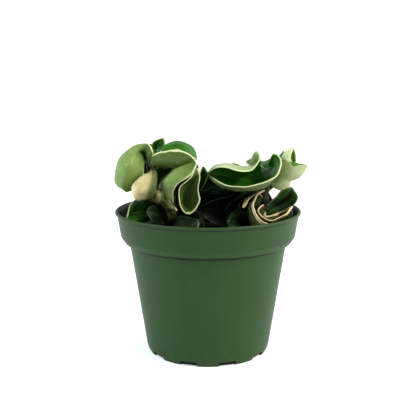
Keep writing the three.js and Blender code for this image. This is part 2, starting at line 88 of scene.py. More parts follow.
class Graph:
    """A node tree that is filled through one method."""

    def __init__(self, tree):
        self.tree = tree

    def add(self, kind, settings=None, values=None, out=0):
        node = self.tree.nodes.new(kind)
        for key, value in (settings or {}).items():
            if key == "stops":
                self._set_stops(node.color_ramp, value)
            else:
                setattr(node, key, value)
        for key, value in (values or {}).items():
            socket = node.inputs[key]
            if isinstance(value, Wire):
                self.tree.links.new(value.socket, socket)
            else:
                socket.default_value = value
        return Wire(self, node.outputs[out])

    def _set_stops(self, ramp, stops):
        while len(ramp.elements) > 1:
            ramp.elements.remove(ramp.elements[-1])
        ramp.elements[0].position = stops[0][0]
        ramp.elements[0].color = rgba(stops[0][1])
        for place, colour in stops[1:]:
            ramp.elements.new(place).color = rgba(colour)

    def math(self, operation, *numbers):
        return self.add("ShaderNodeMath", {"operation": operation}, dict(enumerate(numbers)))

    def vector_math(self, operation, *vectors, out=0):
        return self.add("ShaderNodeVectorMath", {"operation": operation},
                        dict(enumerate(vectors)), out)

    def from_axis(self, place):
        """The distance of a place from the pot's axis."""
        level = self.vector_math("MULTIPLY", place, (1.0, 1.0, 0.0))
        return self.vector_math("LENGTH", level, out="Value")

    def bump(self, height, strength, distance):
        return self.add("ShaderNodeBump", {}, {"Strength": strength, "Distance": distance,
                                               "Height": height}, "Normal")

    def mix(self, share, first, second):
        """A blend of two colours."""
        mixed = self.add("ShaderNodeMix", {"data_type": "RGBA"}, {0: share}, 2)
        for slot, colour in ((6, first), (7, second)):
            socket = mixed.socket.node.inputs[slot]
            if isinstance(colour, Wire):
                self.tree.links.new(colour.socket, socket)
            else:
                socket.default_value = rgba(colour)
        return mixed

    def smooth(self, value, low, high, from_share=0.0, to_share=1.0):
        """A soft step: from_share below low, to_share above high."""
        return self.add("ShaderNodeMapRange", {"interpolation_type": "SMOOTHSTEP"},
                        {0: value, 1: low, 2: high, 3: from_share, 4: to_share})

    def noise(self, place, scale, detail=2.0, roughness=0.5):
        return self.add("ShaderNodeTexNoise", {},
                        {"Vector": place, "Scale": scale, "Detail": detail,
                         "Roughness": roughness})


def rgba(colour):
    return (*colour[:3], 1.0)


def new_material(name):
    """A material, its graph, its shader and the piece's own coordinates."""
    material = bpy.data.materials.new(name)
    material.use_nodes = True
    graph = Graph(material.node_tree)
    shader = material.node_tree.nodes["Principled BSDF"]
    place = graph.add("ShaderNodeTexCoord", {}, {}, "Object")
    return material, graph, shader, place


def feed(graph, shader, **wires):
    """Link wires to the shader's sockets; base_color feeds Base Color, and so on."""
    for name, wire in wires.items():
        socket = shader.inputs[name.replace("_", " ").title()]
        graph.tree.links.new(wire.socket, socket)


def fix(shader, constants):
    """Set the shader's sockets that hold one value all over the piece."""
    for name, value in constants.items():
        shader.inputs[name].default_value = value


print("material helpers ready")

# %% [markdown]
# ## The view and the light
#
# The photograph was taken a little above the rim of the pot, with a long lens and the plant in
# the middle of the frame. The place of the camera comes from the ellipse that the rim makes. The
# plant stands in a white tent: bright walls at its right and left, a dimmer one above, and a dark
# opening where the camera looks in. That is why surfaces that face the camera look deep and
# rich, while those that turn to a side are bright. The sky of the scene plays the tent, and two
# lamps add the small highlights on the wax.

# %% Camera
scene = bpy.context.scene
scene.view_settings.view_transform = "Standard"
scene.view_settings.look = "Medium High Contrast"

CAMERA_PLACE = (0.0, -0.650, 0.240)
CAMERA_DIP = math.radians(10.55)
FOCAL_PIXELS = 801.0
FRAME_PIXELS = 416.0


def place_camera():
    lens = bpy.data.cameras.new("camera")
    lens.sensor_width = 36.0
    lens.lens = lens.sensor_width * FOCAL_PIXELS / FRAME_PIXELS
    camera = bpy.data.objects.new("camera", lens)
    camera.location = CAMERA_PLACE
    camera.rotation_euler = (math.pi / 2 - CAMERA_DIP, 0, 0)
    scene.collection.objects.link(camera)
    scene.camera = camera
    return camera


camera = place_camera()
print("camera lens:", round(camera.data.lens, 2), "mm")

# %% Tent and lamps
TENT = {"base": 0.09, "right": 2.1, "left": 1.05, "top": 0.28, "back": 0.40}
COOL_WALL = (0.80, 0.95, 1.0)
BACKDROP_GLOW = 1.02
LAMP_AIM = (0.0, 0.0, 0.12)


def make_tent():
    """A sky with two bright walls; whoever looks straight at it sees plain white."""
    sky = bpy.data.worlds.new("white_tent")
    sky.use_nodes = True
    graph = Graph(sky.node_tree)
    way = graph.add("ShaderNodeTexCoord", {}, {}, "Generated")
    axes = graph.add("ShaderNodeSeparateXYZ", {}, {"Vector": way}).socket.node.outputs
    x, y, z = (Wire(graph, axes[name]) for name in "XYZ")
    right = graph.smooth(x, 0.25, 1.0) * TENT["right"]
    left = graph.smooth(-x, 0.25, 1.0) * TENT["left"]
    top = graph.smooth(z, 0.2, 1.0) * TENT["top"]
    back = graph.smooth(y, 0.1, 1.0) * TENT["back"]
    glow = right + left + top + back + TENT["base"]
    seen = graph.add("ShaderNodeLightPath", {}, {}, "Is Camera Ray")
    strength = glow * (1.0 - seen) + seen * BACKDROP_GLOW
    cool = graph.smooth(-x, 0.0, 0.8) * (1.0 - seen)
    colour = graph.mix(cool, (1.0, 1.0, 1.0), COOL_WALL)
    background = sky.node_tree.nodes["Background"]
    sky.node_tree.links.new(colour.socket, background.inputs["Color"])
    sky.node_tree.links.new(strength.socket, background.inputs["Strength"])
    scene.world = sky


def soft_lamp(name, place, size, watts, colour):
    lamp = bpy.data.lights.new(name, "AREA")
    lamp.shape = "DISK"
    lamp.size = size
    lamp.energy = watts
    lamp.color = colour
    holder = bpy.data.objects.new(name, lamp)
    holder.location = place
    aim = Vector(LAMP_AIM) - Vector(place)
    holder.rotation_euler = aim.to_track_quat("-Z", "Y").to_euler()
    scene.collection.objects.link(holder)


make_tent()
soft_lamp("right_lamp", (0.50, -0.30, 0.60), 0.09, 2.5, (1.0, 0.98, 0.95))
soft_lamp("left_lamp", (-0.50, -0.20, 0.55), 0.10, 1.6, (0.90, 0.95, 1.0))
print("lamps:", [lamp.name for lamp in bpy.data.lights])

# %% [markdown]
# ## Pieces and places
#
# Every finished piece is a plain mesh at the origin, so that its coordinates are the object's
# own. `mesh_from` makes the mesh and `add_object` gives it its material and shades it smooth.
# `settle` then hangs it on the one body and hides the solids it stands for. The tables below are in
# millimetres, and `MM` brings them to metres.

# %% Adding a piece
MM = 0.001


def mesh_from(name, points, faces):
    mesh = bpy.data.meshes.new(name)
    mesh.from_pydata(np.asarray(points).tolist(), [], faces)
    mesh.update()
    return mesh


def add_object(name, mesh, material):
    piece = bpy.data.objects.new(name, mesh)
    scene.collection.objects.link(piece)
    mesh.materials.append(material)
    mesh.shade_smooth()
    return piece


def settle(piece, finish, *stands_for):
    """The piece rides on the one body and hides the solids it stands for."""
    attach(piece, "root")
    if stands_for:
        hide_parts(*stands_for)
    triangles = sum(len(face.vertices) - 2 for face in piece.data.polygons)
    print(piece.name, "triangles:", triangles)
    return piece


def finished_mesh(piece):
    """A plain mesh of the piece with its modifiers worked in."""
    ready = piece.evaluated_get(bpy.context.evaluated_depsgraph_get())
    return bpy.data.meshes.new_from_object(ready)


def bake_modifiers(piece):
    mesh = finished_mesh(piece)
    piece.modifiers.clear()
    piece.data = mesh


# %% [markdown]
# ## The floor
#
# The floor of the tent is a white sheet lit from below as well, so that it stays white to the
# horizon.

# %% Floor
FLOOR_HALF_WIDTH = 6.0


def make_floor():
    material, graph, shader, place = new_material("floor_white")
    speck = graph.noise(place, 40.0, 2.0)
    tone = graph.mix(speck, (0.86, 0.865, 0.875), (0.88, 0.88, 0.885))
    feed(graph, shader, base_color=tone)
    fix(shader, {"Roughness": 0.9, "Specular IOR Level": 0.0,
                 "Emission Color": (1.0, 1.0, 1.0, 1.0), "Emission Strength": 0.35})
    half = FLOOR_HALF_WIDTH
    corners = [(-half, -half, 0), (half, -half, 0), (half, half, 0), (-half, half, 0)]
    floor = add_object("floor", mesh_from("floor", corners, [(0, 1, 2, 3)]), material)
    return floor


print("floor:", make_floor().dimensions[:2], "m")

# %% [markdown]
# ## The pot
#
# A nursery pot is a thin tapered shell of plastic, moulded in one shot. A wider band carries the
# lip, and slots round the foot let water out. The shell is a turned form, so a Screw modifier
# spins its outline about the pot's axis. Corners that would look knife sharp are first replaced
# by short arcs, as in a real mould.

# %% Pot sizes and outline
POT_HEIGHT = 118.0
LIP_RADIUS = 76.2
LIP_DROP = 2.4
BAND_TOP_RADIUS = 74.6
BAND_LOW_RADIUS = 71.9
BAND_LOW = 97.5
BEVEL_LOW_RADIUS = 69.0
BEVEL_LOW = 93.0
BODY_TOP_RADIUS = 64.6
BODY_TOP = 90.5
BODY_LOW_RADIUS = 51.2
BODY_LOW = 4.0
FOOT_RADIUS = 49.4
FOOT_ROUND = 1.2
POT_WALL = 1.8
POT_FLOOR = 2.2
POT_STEPS = 180
INNER_RISE = 0.9
LIP_EDGE = 0.6

POT_OUTSIDE = [
    (FOOT_RADIUS, 0, 0.3), (BODY_LOW_RADIUS - FOOT_ROUND, FOOT_ROUND, 0.8),
    (BODY_LOW_RADIUS, BODY_LOW, 1.5),
    (BODY_TOP_RADIUS, BODY_TOP, 0.2), (BEVEL_LOW_RADIUS, BEVEL_LOW, 0.7),
    (BAND_LOW_RADIUS, BAND_LOW, 1.4), (BAND_TOP_RADIUS, POT_HEIGHT - LIP_DROP - LIP_EDGE, 0.4),
    (LIP_RADIUS - LIP_EDGE, POT_HEIGHT - LIP_DROP, 0.3),
    (LIP_RADIUS, POT_HEIGHT - LIP_DROP + LIP_EDGE, 0.4),
    (LIP_RADIUS, POT_HEIGHT - LIP_EDGE, 0.4), (LIP_RADIUS - LIP_EDGE, POT_HEIGHT, 0.3),
]
POT_INSIDE = [
    (BAND_TOP_RADIUS - LIP_EDGE, POT_HEIGHT, 0.6),
    (BAND_TOP_RADIUS - POT_WALL, POT_HEIGHT - LIP_DROP, 1.0),
    (BAND_LOW_RADIUS - POT_WALL, BAND_LOW + INNER_RISE, 1.0),
    (BEVEL_LOW_RADIUS - POT_WALL, BEVEL_LOW + INNER_RISE, 1.0),
    (BODY_TOP_RADIUS - POT_WALL, BODY_TOP + INNER_RISE, 1.0),
    (BODY_LOW_RADIUS - POT_WALL, BODY_LOW + INNER_RISE, 1.0),
    (FOOT_RADIUS - POT_WALL, POT_FLOOR, 0.5),
]


def rounded(outline, steps=4):
    """Replace every inner corner (radius, height, rounding) by a short arc."""
    flat = [np.array(point[:2], float) for point in outline]
    result = [flat[0]]
    for before, corner, after, point in zip(flat, flat[1:], flat[2:], outline[1:]):
        towards = [before - corner, after - corner]
        reach = min(point[2], *(0.45 * np.linalg.norm(way) for way in towards))
        start, end = (corner + way / np.linalg.norm(way) * reach for way in towards)
        for k in range(steps + 1):
            t = k / steps
            result.append((1 - t) ** 2 * start + 2 * t * (1 - t) * corner + t * t * end)
    result.append(flat[-1])
    return result


pot_outline = rounded([(0, 0, 0), *POT_OUTSIDE, *POT_INSIDE, (0, POT_FLOOR, 0)])
print("points in the pot's outline:", len(pot_outline))

# %% [markdown]
# The drain slots repeat round the foot, so a Geometry Nodes tree makes them: a ring of points, a
# block on each, and a Boolean that takes them all away. The count and the sizes are named inputs
# of the tree.

# %% Drain slots with Geometry Nodes
DRAIN_COUNT = 10
DRAIN_WIDTH = 14.0
DRAIN_HEIGHT = 3.6
DRAIN_DEPTH = 9.0


def new_tree(name, inputs):
    """A geometry tree with named inputs; returns the graph and a Wire for each input."""
    tree = bpy.data.node_groups.new(name, "GeometryNodeTree")
    tree.interface.new_socket("Geometry", in_out="INPUT", socket_type="NodeSocketGeometry")
    tree.interface.new_socket("Geometry", in_out="OUTPUT", socket_type="NodeSocketGeometry")
    for label, kind, value in inputs:
        socket = tree.interface.new_socket(label, in_out="INPUT", socket_type=kind)
        if kind != "NodeSocketMaterial":
            socket.default_value = value
    graph = Graph(tree)
    entry = tree.nodes.new("NodeGroupInput")
    wires = {socket.name: Wire(graph, socket) for socket in entry.outputs if socket.name}
    return graph, wires


def end_tree(graph, geometry):
    ending = graph.tree.nodes.new("NodeGroupOutput")
    graph.tree.links.new(geometry.socket, ending.inputs["Geometry"])
    return graph.tree


def add_tree(piece, tree, **values):
    """Put a geometry tree on a piece, with its named inputs set."""
    modifier = piece.modifiers.new(tree.name, "NODES")
    modifier.node_group = tree
    for item in tree.interface.items_tree:
        if item.item_type == "SOCKET" and item.in_out == "INPUT" and item.name in values:
            modifier[item.identifier] = values[item.name]


def drain_tree():
    number = "NodeSocketFloat"
    graph, given = new_tree("drain_slots", [
        ("Count", "NodeSocketInt", DRAIN_COUNT), ("Ring radius", number, 0.05),
        ("Depth", number, 0.006), ("Width", number, 0.013), ("Height", number, 0.003),
        ("Material", "NodeSocketMaterial", None)])
    size = graph.add("ShaderNodeCombineXYZ", {},
                     {"X": given["Depth"], "Y": given["Width"], "Z": given["Height"] * 2.0})
    block = graph.add("GeometryNodeMeshCube", {}, {"Size": size})
    ring = graph.add("GeometryNodeMeshCircle", {},
                     {"Vertices": given["Count"], "Radius": given["Ring radius"]})
    index = graph.add("GeometryNodeInputIndex")
    bearing = graph.add("ShaderNodeCombineXYZ", {}, {"Z": index * 2.0 * math.pi / given["Count"]})
    blocks = graph.add("GeometryNodeInstanceOnPoints", {},
                       {"Points": ring, "Instance": block, "Rotation": bearing})
    loose = graph.add("GeometryNodeRealizeInstances", {}, {"Geometry": blocks})
    cut = graph.add("GeometryNodeMeshBoolean", {"operation": "DIFFERENCE", "solver": "EXACT"},
                    {"Mesh 1": given["Geometry"], "Mesh 2": loose})
    finished = graph.add("GeometryNodeSetMaterial", {},
                         {"Geometry": cut, "Material": given["Material"]})
    return end_tree(graph, finished)


# %% [markdown]
# The plastic is dull mid green with a fine grain from the mould. It picks up dust and splashed
# water, more of it low down. A painted highlight makes a thin line at the top of the lip a little
# paler. The inside is painted dark as shade: it is found by the direction of the surface, which
# there points at the pot's axis. A painted shadow darkens the step under the band. The slots and
# the underside are painted dark as shade, and are found by their distance from the axis.

# %% Pot plastic
# Painted highlight on the lip, painted shadow under the band, painted shade under the foot.
LIP_HIGHLIGHT_HEIGHTS = (0.1170, 0.1177)
SHADOW_UNDER_BAND_FROM = (0.0902, 0.0907)
SHADOW_UNDER_BAND_TO = (0.0914, 0.0922)
SHADED_FOOT_RADII = (0.0485, 0.0493)


def pot_plastic():
    material, graph, shader, place = new_material("pot_plastic")
    height = graph.add("ShaderNodeSeparateXYZ", {}, {"Vector": place}, "Z")
    stretch = graph.add("ShaderNodeMapping", {}, {"Vector": place, "Scale": (1.0, 1.0, 0.12)})
    streaks = graph.noise(stretch, 90.0, 3.0, 0.6)
    cloud = graph.noise(place, 28.0, 3.0)
    grain = graph.noise(place, 1400.0, 2.0)
    dust = graph.smooth(graph.noise(place, 260.0, 5.0, 0.7), 0.56, 0.76)
    low = graph.smooth(height, 0.0, 0.035, 1.0, 0.0)
    # Painted highlight: a thin line at the top of the lip is made paler.
    lip_highlight = graph.smooth(height, *LIP_HIGHLIGHT_HEIGHTS)
    # Painted shadow: the step under the band is darkened.
    shadow_under_band = graph.smooth(height, *SHADOW_UNDER_BAND_FROM) * graph.smooth(height, *SHADOW_UNDER_BAND_TO, 1.0, 0.0)
    # Painted shade: the inside of the pot, where the surface faces the axis, is darkened.
    facing = graph.add("ShaderNodeNewGeometry", {}, {}, "Normal")
    outward = graph.vector_math("DOT_PRODUCT", facing, place, out="Value")
    inner = graph.smooth(outward, -0.03, 0.0, 1.0, 0.0)
    # Painted shade: the slots and the underside, found by their distance from the axis, are
    # darkened.
    shade_under_foot = graph.smooth(graph.from_axis(place), *SHADED_FOOT_RADII, 1.0, 0.0)
    green = graph.mix(cloud, (0.020, 0.054, 0.014), (0.027, 0.070, 0.019))
    green = graph.mix(streaks * 0.22, green, (0.050, 0.105, 0.038))
    green = graph.mix(dust * (0.10 + low * 0.16), green, (0.16, 0.20, 0.12))
    # The next four mixes paint the lip's highlight, and the shade inside the pot, under the band
    # and under the foot.
    green = graph.mix(lip_highlight * (0.05 + streaks * 0.2), green, (0.10, 0.15, 0.085))
    green = graph.mix(inner * 0.75, green, (0.006, 0.012, 0.007))
    green = graph.mix(shadow_under_band * 0.6, green, (0.006, 0.014, 0.006))
    green = graph.mix(shade_under_foot * 0.95, green, (0.006, 0.005, 0.004))
    bump = graph.bump(grain * 0.6 + streaks * 0.4, 0.18, 0.0004)
    feed(graph, shader, base_color=green, roughness=0.42 + dust * 0.2 + grain * 0.1, normal=bump)
    fix(shader, {"Specular IOR Level": 0.22})
    return material


MERGE_DISTANCE = 1e-6


def make_pot():
    points = [(radius * MM, 0.0, height * MM) for radius, height in pot_outline]
    outline = bpy.data.meshes.new("pot")
    outline.from_pydata(points, [(k, k + 1) for k in range(len(points) - 1)], [])
    pot = bpy.data.objects.new("pot_shell", outline)
    scene.collection.objects.link(pot)
    spin = pot.modifiers.new("spin", "SCREW")
    spin.axis = "Z"
    spin.steps = spin.render_steps = POT_STEPS
    spin.use_merge_vertices = True
    spin.merge_threshold = MERGE_DISTANCE
    bake_modifiers(pot)
    tidy = bmesh.new()
    tidy.from_mesh(pot.data)
    bmesh.ops.remove_doubles(tidy, verts=tidy.verts, dist=MERGE_DISTANCE)
    bmesh.ops.recalc_face_normals(tidy, faces=tidy.faces)
    tidy.to_mesh(pot.data)
    tidy.free()
    plastic = pot_plastic()
    pot.data.materials.append(plastic)
    add_tree(pot, drain_tree(), **{
        "Count": DRAIN_COUNT, "Ring radius": BODY_LOW_RADIUS * MM,
        "Depth": DRAIN_DEPTH * MM, "Width": DRAIN_WIDTH * MM, "Height": DRAIN_HEIGHT * MM,
        "Material": plastic})
    bake_modifiers(pot)
    pot.data.shade_smooth()
    pot.data.set_sharp_from_angle(angle=math.radians(50))
    return settle(pot, "pot_plastic", "pot")


make_pot()

# %% [markdown]
# ## The potting mix
#
# The mix is bark, peat and a few white beads of expanded rock. Its surface is modelled as a fine
# disc of crumbs, pushed up and down by three sizes of noise. The loose bits that lie on top are
# one shape each, scattered by Geometry Nodes with a fixed seed.

# %% Soil surface
SOIL_TOP = 97.0
SOIL_RADIUS = 67.0
SOIL_MOUND = 3.0
SOIL_GAP = 0.3
SOIL_RINGS = 90
SOIL_SPOKES = 220
CRUMB_SINK = 0.6


def crumbs(x, y):
    """Height of the crumbs above the smooth mound, in millimetres."""
    spot = Vector((x, y, 7.0))
    clods = noise.noise(spot * 0.11) * 1.1
    lumps = abs(noise.noise(spot * 0.33)) * 1.6
    return clods + lumps + noise.noise(spot * 0.9) * 0.5


def soil_ring(radius):
    """The points of one level ring of the mix, in millimetres."""
    for spoke in range(SOIL_SPOKES):
        angle = 2 * math.pi * spoke / SOIL_SPOKES
        yield radius * math.cos(angle), radius * math.sin(angle)


def make_soil(material):
    points = [(0.0, 0.0, (SOIL_TOP + SOIL_MOUND) * MM)]
    for ring in range(1, SOIL_RINGS + 1):
        radius = SOIL_RADIUS * ring / SOIL_RINGS
        mound = SOIL_TOP + SOIL_MOUND * (1 - radius / SOIL_RADIUS)
        for x, y in soil_ring(radius):
            height = mound + crumbs(x, y) - CRUMB_SINK
            points.append((x * MM, y * MM, height * MM))
    sides = [(radius - SOIL_GAP, height + SOIL_GAP) for radius, height, _ in POT_INSIDE[3:]]
    for radius, height in sides:
        points += [(x * MM, y * MM, height * MM) for x, y in soil_ring(radius)]
    points.append((0.0, 0.0, (POT_FLOOR + SOIL_GAP) * MM))
    rings = SOIL_RINGS + len(sides)
    faces = []
    for spoke in range(SOIL_SPOKES):
        following = (spoke + 1) % SOIL_SPOKES
        faces.append((0, 1 + spoke, 1 + following))
        for ring in range(rings - 1):
            a = 1 + ring * SOIL_SPOKES
            b = a + SOIL_SPOKES
            faces.append((a + spoke, b + spoke, b + following, a + following))
        end = 1 + (rings - 1) * SOIL_SPOKES
        faces.append((end + following, end + spoke, len(points) - 1))
    return add_object("potting_mix", mesh_from("potting_mix", points, faces), material)


def soil_finish():
    material, graph, shader, place = new_material("potting_mix")
    fine = graph.noise(place, 900.0, 6.0, 0.75)
    broad = graph.noise(place, 130.0, 4.0, 0.6)
    earth = graph.add("ShaderNodeValToRGB", {"stops": [
        (0.30, (0.004, 0.003, 0.002)), (0.50, (0.016, 0.011, 0.007)),
        (0.66, (0.045, 0.030, 0.018)), (0.80, (0.11, 0.075, 0.045))]},
        {0: fine * 0.7 + broad * 0.3})
    bump = graph.bump(fine, 0.8, 0.0008)
    feed(graph, shader, base_color=earth, roughness=0.8 + broad * 0.2, normal=bump)
    return material


soil = settle(make_soil(soil_finish()), "potting_mix", "soil")

# %% [markdown]
# Each kind of bit is one small lump, dented by noise. The tree keeps only the faces that look up
# and lie inside a given radius, so nothing is scattered down the side of the mix.

# %% Loose bits on the mix
def lump(name, material, stretch, dent, seed):
    """A dented ball of unit radius, stretched along its axes."""
    body = bmesh.new()
    bmesh.ops.create_icosphere(body, subdivisions=2, radius=1.0)
    for corner in body.verts:
        dip = 1.0 + dent * noise.noise(corner.co * 1.3 + Vector((seed, 0.0, 0.0)))
        corner.co = Vector(corner.co[axis] * dip * stretch[axis] for axis in range(3))
    mesh = bpy.data.meshes.new(name)
    body.to_mesh(mesh)
    body.free()
    mesh.materials.append(material)
    return bpy.data.objects.new(name, mesh)


def scatter_tree():
    number = "NodeSocketFloat"
    graph, given = new_tree("scatter_bits", [
        ("Bit", "NodeSocketObject", None), ("Per square metre", number, 4000.0),
        ("Smallest", number, 0.0008), ("Largest", number, 0.002), ("Reach", number, 0.06),
        ("Seed", "NodeSocketInt", 1), ("Material", "NodeSocketMaterial", None)])
    place = graph.add("GeometryNodeInputPosition")
    normal = graph.add("GeometryNodeInputNormal")
    upward = graph.add("ShaderNodeSeparateXYZ", {}, {"Vector": normal}, "Z")
    inside = graph.math("LESS_THAN", graph.from_axis(place), given["Reach"])
    level = graph.math("GREATER_THAN", upward, 0.3)
    spots = graph.add("GeometryNodeDistributePointsOnFaces", {"distribute_method": "RANDOM"},
                      {"Mesh": given["Geometry"], "Density": given["Per square metre"],
                       "Seed": given["Seed"], "Selection": inside * level})
    bit = graph.add("GeometryNodeObjectInfo", {}, {"Object": given["Bit"]}, "Geometry")
    size = graph.add("FunctionNodeRandomValue", {"data_type": "FLOAT"},
                     {2: given["Smallest"], 3: given["Largest"], "Seed": given["Seed"]}, 1)
    tumble = graph.add("FunctionNodeRandomValue", {"data_type": "FLOAT_VECTOR"},
                       {0: (-0.5, -0.5, 0.0), 1: (0.5, 0.5, 6.283), "Seed": given["Seed"]}, 0)
    placed = graph.add("GeometryNodeInstanceOnPoints", {},
                       {"Points": spots, "Instance": bit, "Rotation": tumble, "Scale": size})
    loose = graph.add("GeometryNodeRealizeInstances", {}, {"Geometry": placed})
    finished = graph.add("GeometryNodeSetMaterial", {},
                         {"Geometry": loose, "Material": given["Material"]})
    return end_tree(graph, finished)


def bit_finish(name, dark, light, scale):
    material, graph, shader, place = new_material(name)
    grain = graph.noise(place, scale, 4.0, 0.65)
    patch = graph.noise(place, scale * 0.18, 2.0)
    bump = graph.bump(grain, 0.6, 0.0003)
    tone = graph.mix(graph.smooth(grain * 0.6 + patch * 0.4, 0.3, 0.7), dark, light)
    feed(graph, shader, base_color=tone, normal=bump)
    fix(shader, {"Roughness": 0.85})
    return material


BITS = {
    "bark_bits": dict(dark=(0.020, 0.011, 0.006), light=(0.13, 0.075, 0.038), scale=900.0,
                      stretch=(1.0, 0.55, 0.28), dent=0.7, count=9000.0, low=0.0011, high=0.0036,
                      seed=3),
    "peat_crumbs": dict(dark=(0.006, 0.004, 0.003), light=(0.030, 0.020, 0.012), scale=1500.0,
                        stretch=(1.0, 0.8, 0.7), dent=0.9, count=24000.0, low=0.0005, high=0.0014,
                        seed=5),
    "white_beads": dict(dark=(0.16, 0.15, 0.13), light=(0.42, 0.41, 0.37), scale=1200.0,
                        stretch=(1.0, 0.9, 0.8), dent=0.5, count=700.0, low=0.0007, high=0.0019,
                        seed=8),
}
BIT_REACH = 0.0645

scatter = scatter_tree()
for name, bit in BITS.items():
    finish = bit_finish(name, bit["dark"], bit["light"], bit["scale"])
    sample = lump(name + "_one", finish, bit["stretch"], bit["dent"], bit["seed"])
    heap = bpy.data.objects.new(name, soil.data.copy())
    scene.collection.objects.link(heap)
    add_tree(heap, scatter, **{
        "Bit": sample, "Per square metre": bit["count"], "Smallest": bit["low"],
        "Largest": bit["high"], "Reach": BIT_REACH, "Seed": bit["seed"], "Material": finish})
    bake_modifiers(heap)
    bpy.data.objects.remove(sample)
    heap.data.shade_smooth()
    settle(heap, "potting_mix")

# %% [markdown]
# ## The stems
#
# Three shoots carry the leaves. Each is a woody green-brown tube that swells where a leaf joins
# it. The route of each shoot is the same list of points as in the solid model. A curve with a
# radius at every point goes through a Geometry Nodes tree, which sweeps a round section along it.

# %% Routes and joints
STEM_RADIUS = 2.7

SHOOTS = {
    "stem_left": [
        (-36, 4, 66), (-36, 4, 96), (-37, 5, 112), (-40, 7, 133), (-47, 5, 148), (-45, 6, 157),
        (-36, 8, 162), (-27, 8, 162), (-17, 8, 158), (-11, 9, 151), (-11, 12, 139),
        (-10, 11, 127),
    ],
    "stem_right": [
        (43, 5, 66), (43, 5, 96), (44, 8, 107), (48, 9, 117), (47, 9, 128), (49, 12, 139),
        (49, 17, 147),
    ],
    "stem_middle": [
        (14, 24, 66), (14, 24, 96), (14, 25, 106), (11, 25, 118), (9, 22, 128), (10, 20, 136),
    ],
}


def spline(points, places):
    """A smooth line through evenly spaced points, read at places between 0 and 1."""
    points = np.asarray(points, float)
    before = 2 * points[0] - points[1]
    after = 2 * points[-1] - points[-2]
    padded = np.concatenate([[before], points, [after]])
    spans = len(points) - 1
    along = np.clip(places, 0, 1) * spans
    first = np.minimum(along.astype(int), spans - 1)
    t = (along - first).reshape(-1, *[1] * (points.ndim - 1))
    a, b, c, d = (padded[first + k] for k in range(4))
    return 0.5 * (2 * b + (c - a) * t + (2 * a - 5 * b + 4 * c - d) * t ** 2
                  + (3 * b - a - 3 * c + d) * t ** 3)


print("shoots:", {name: len(route) for name, route in SHOOTS.items()})
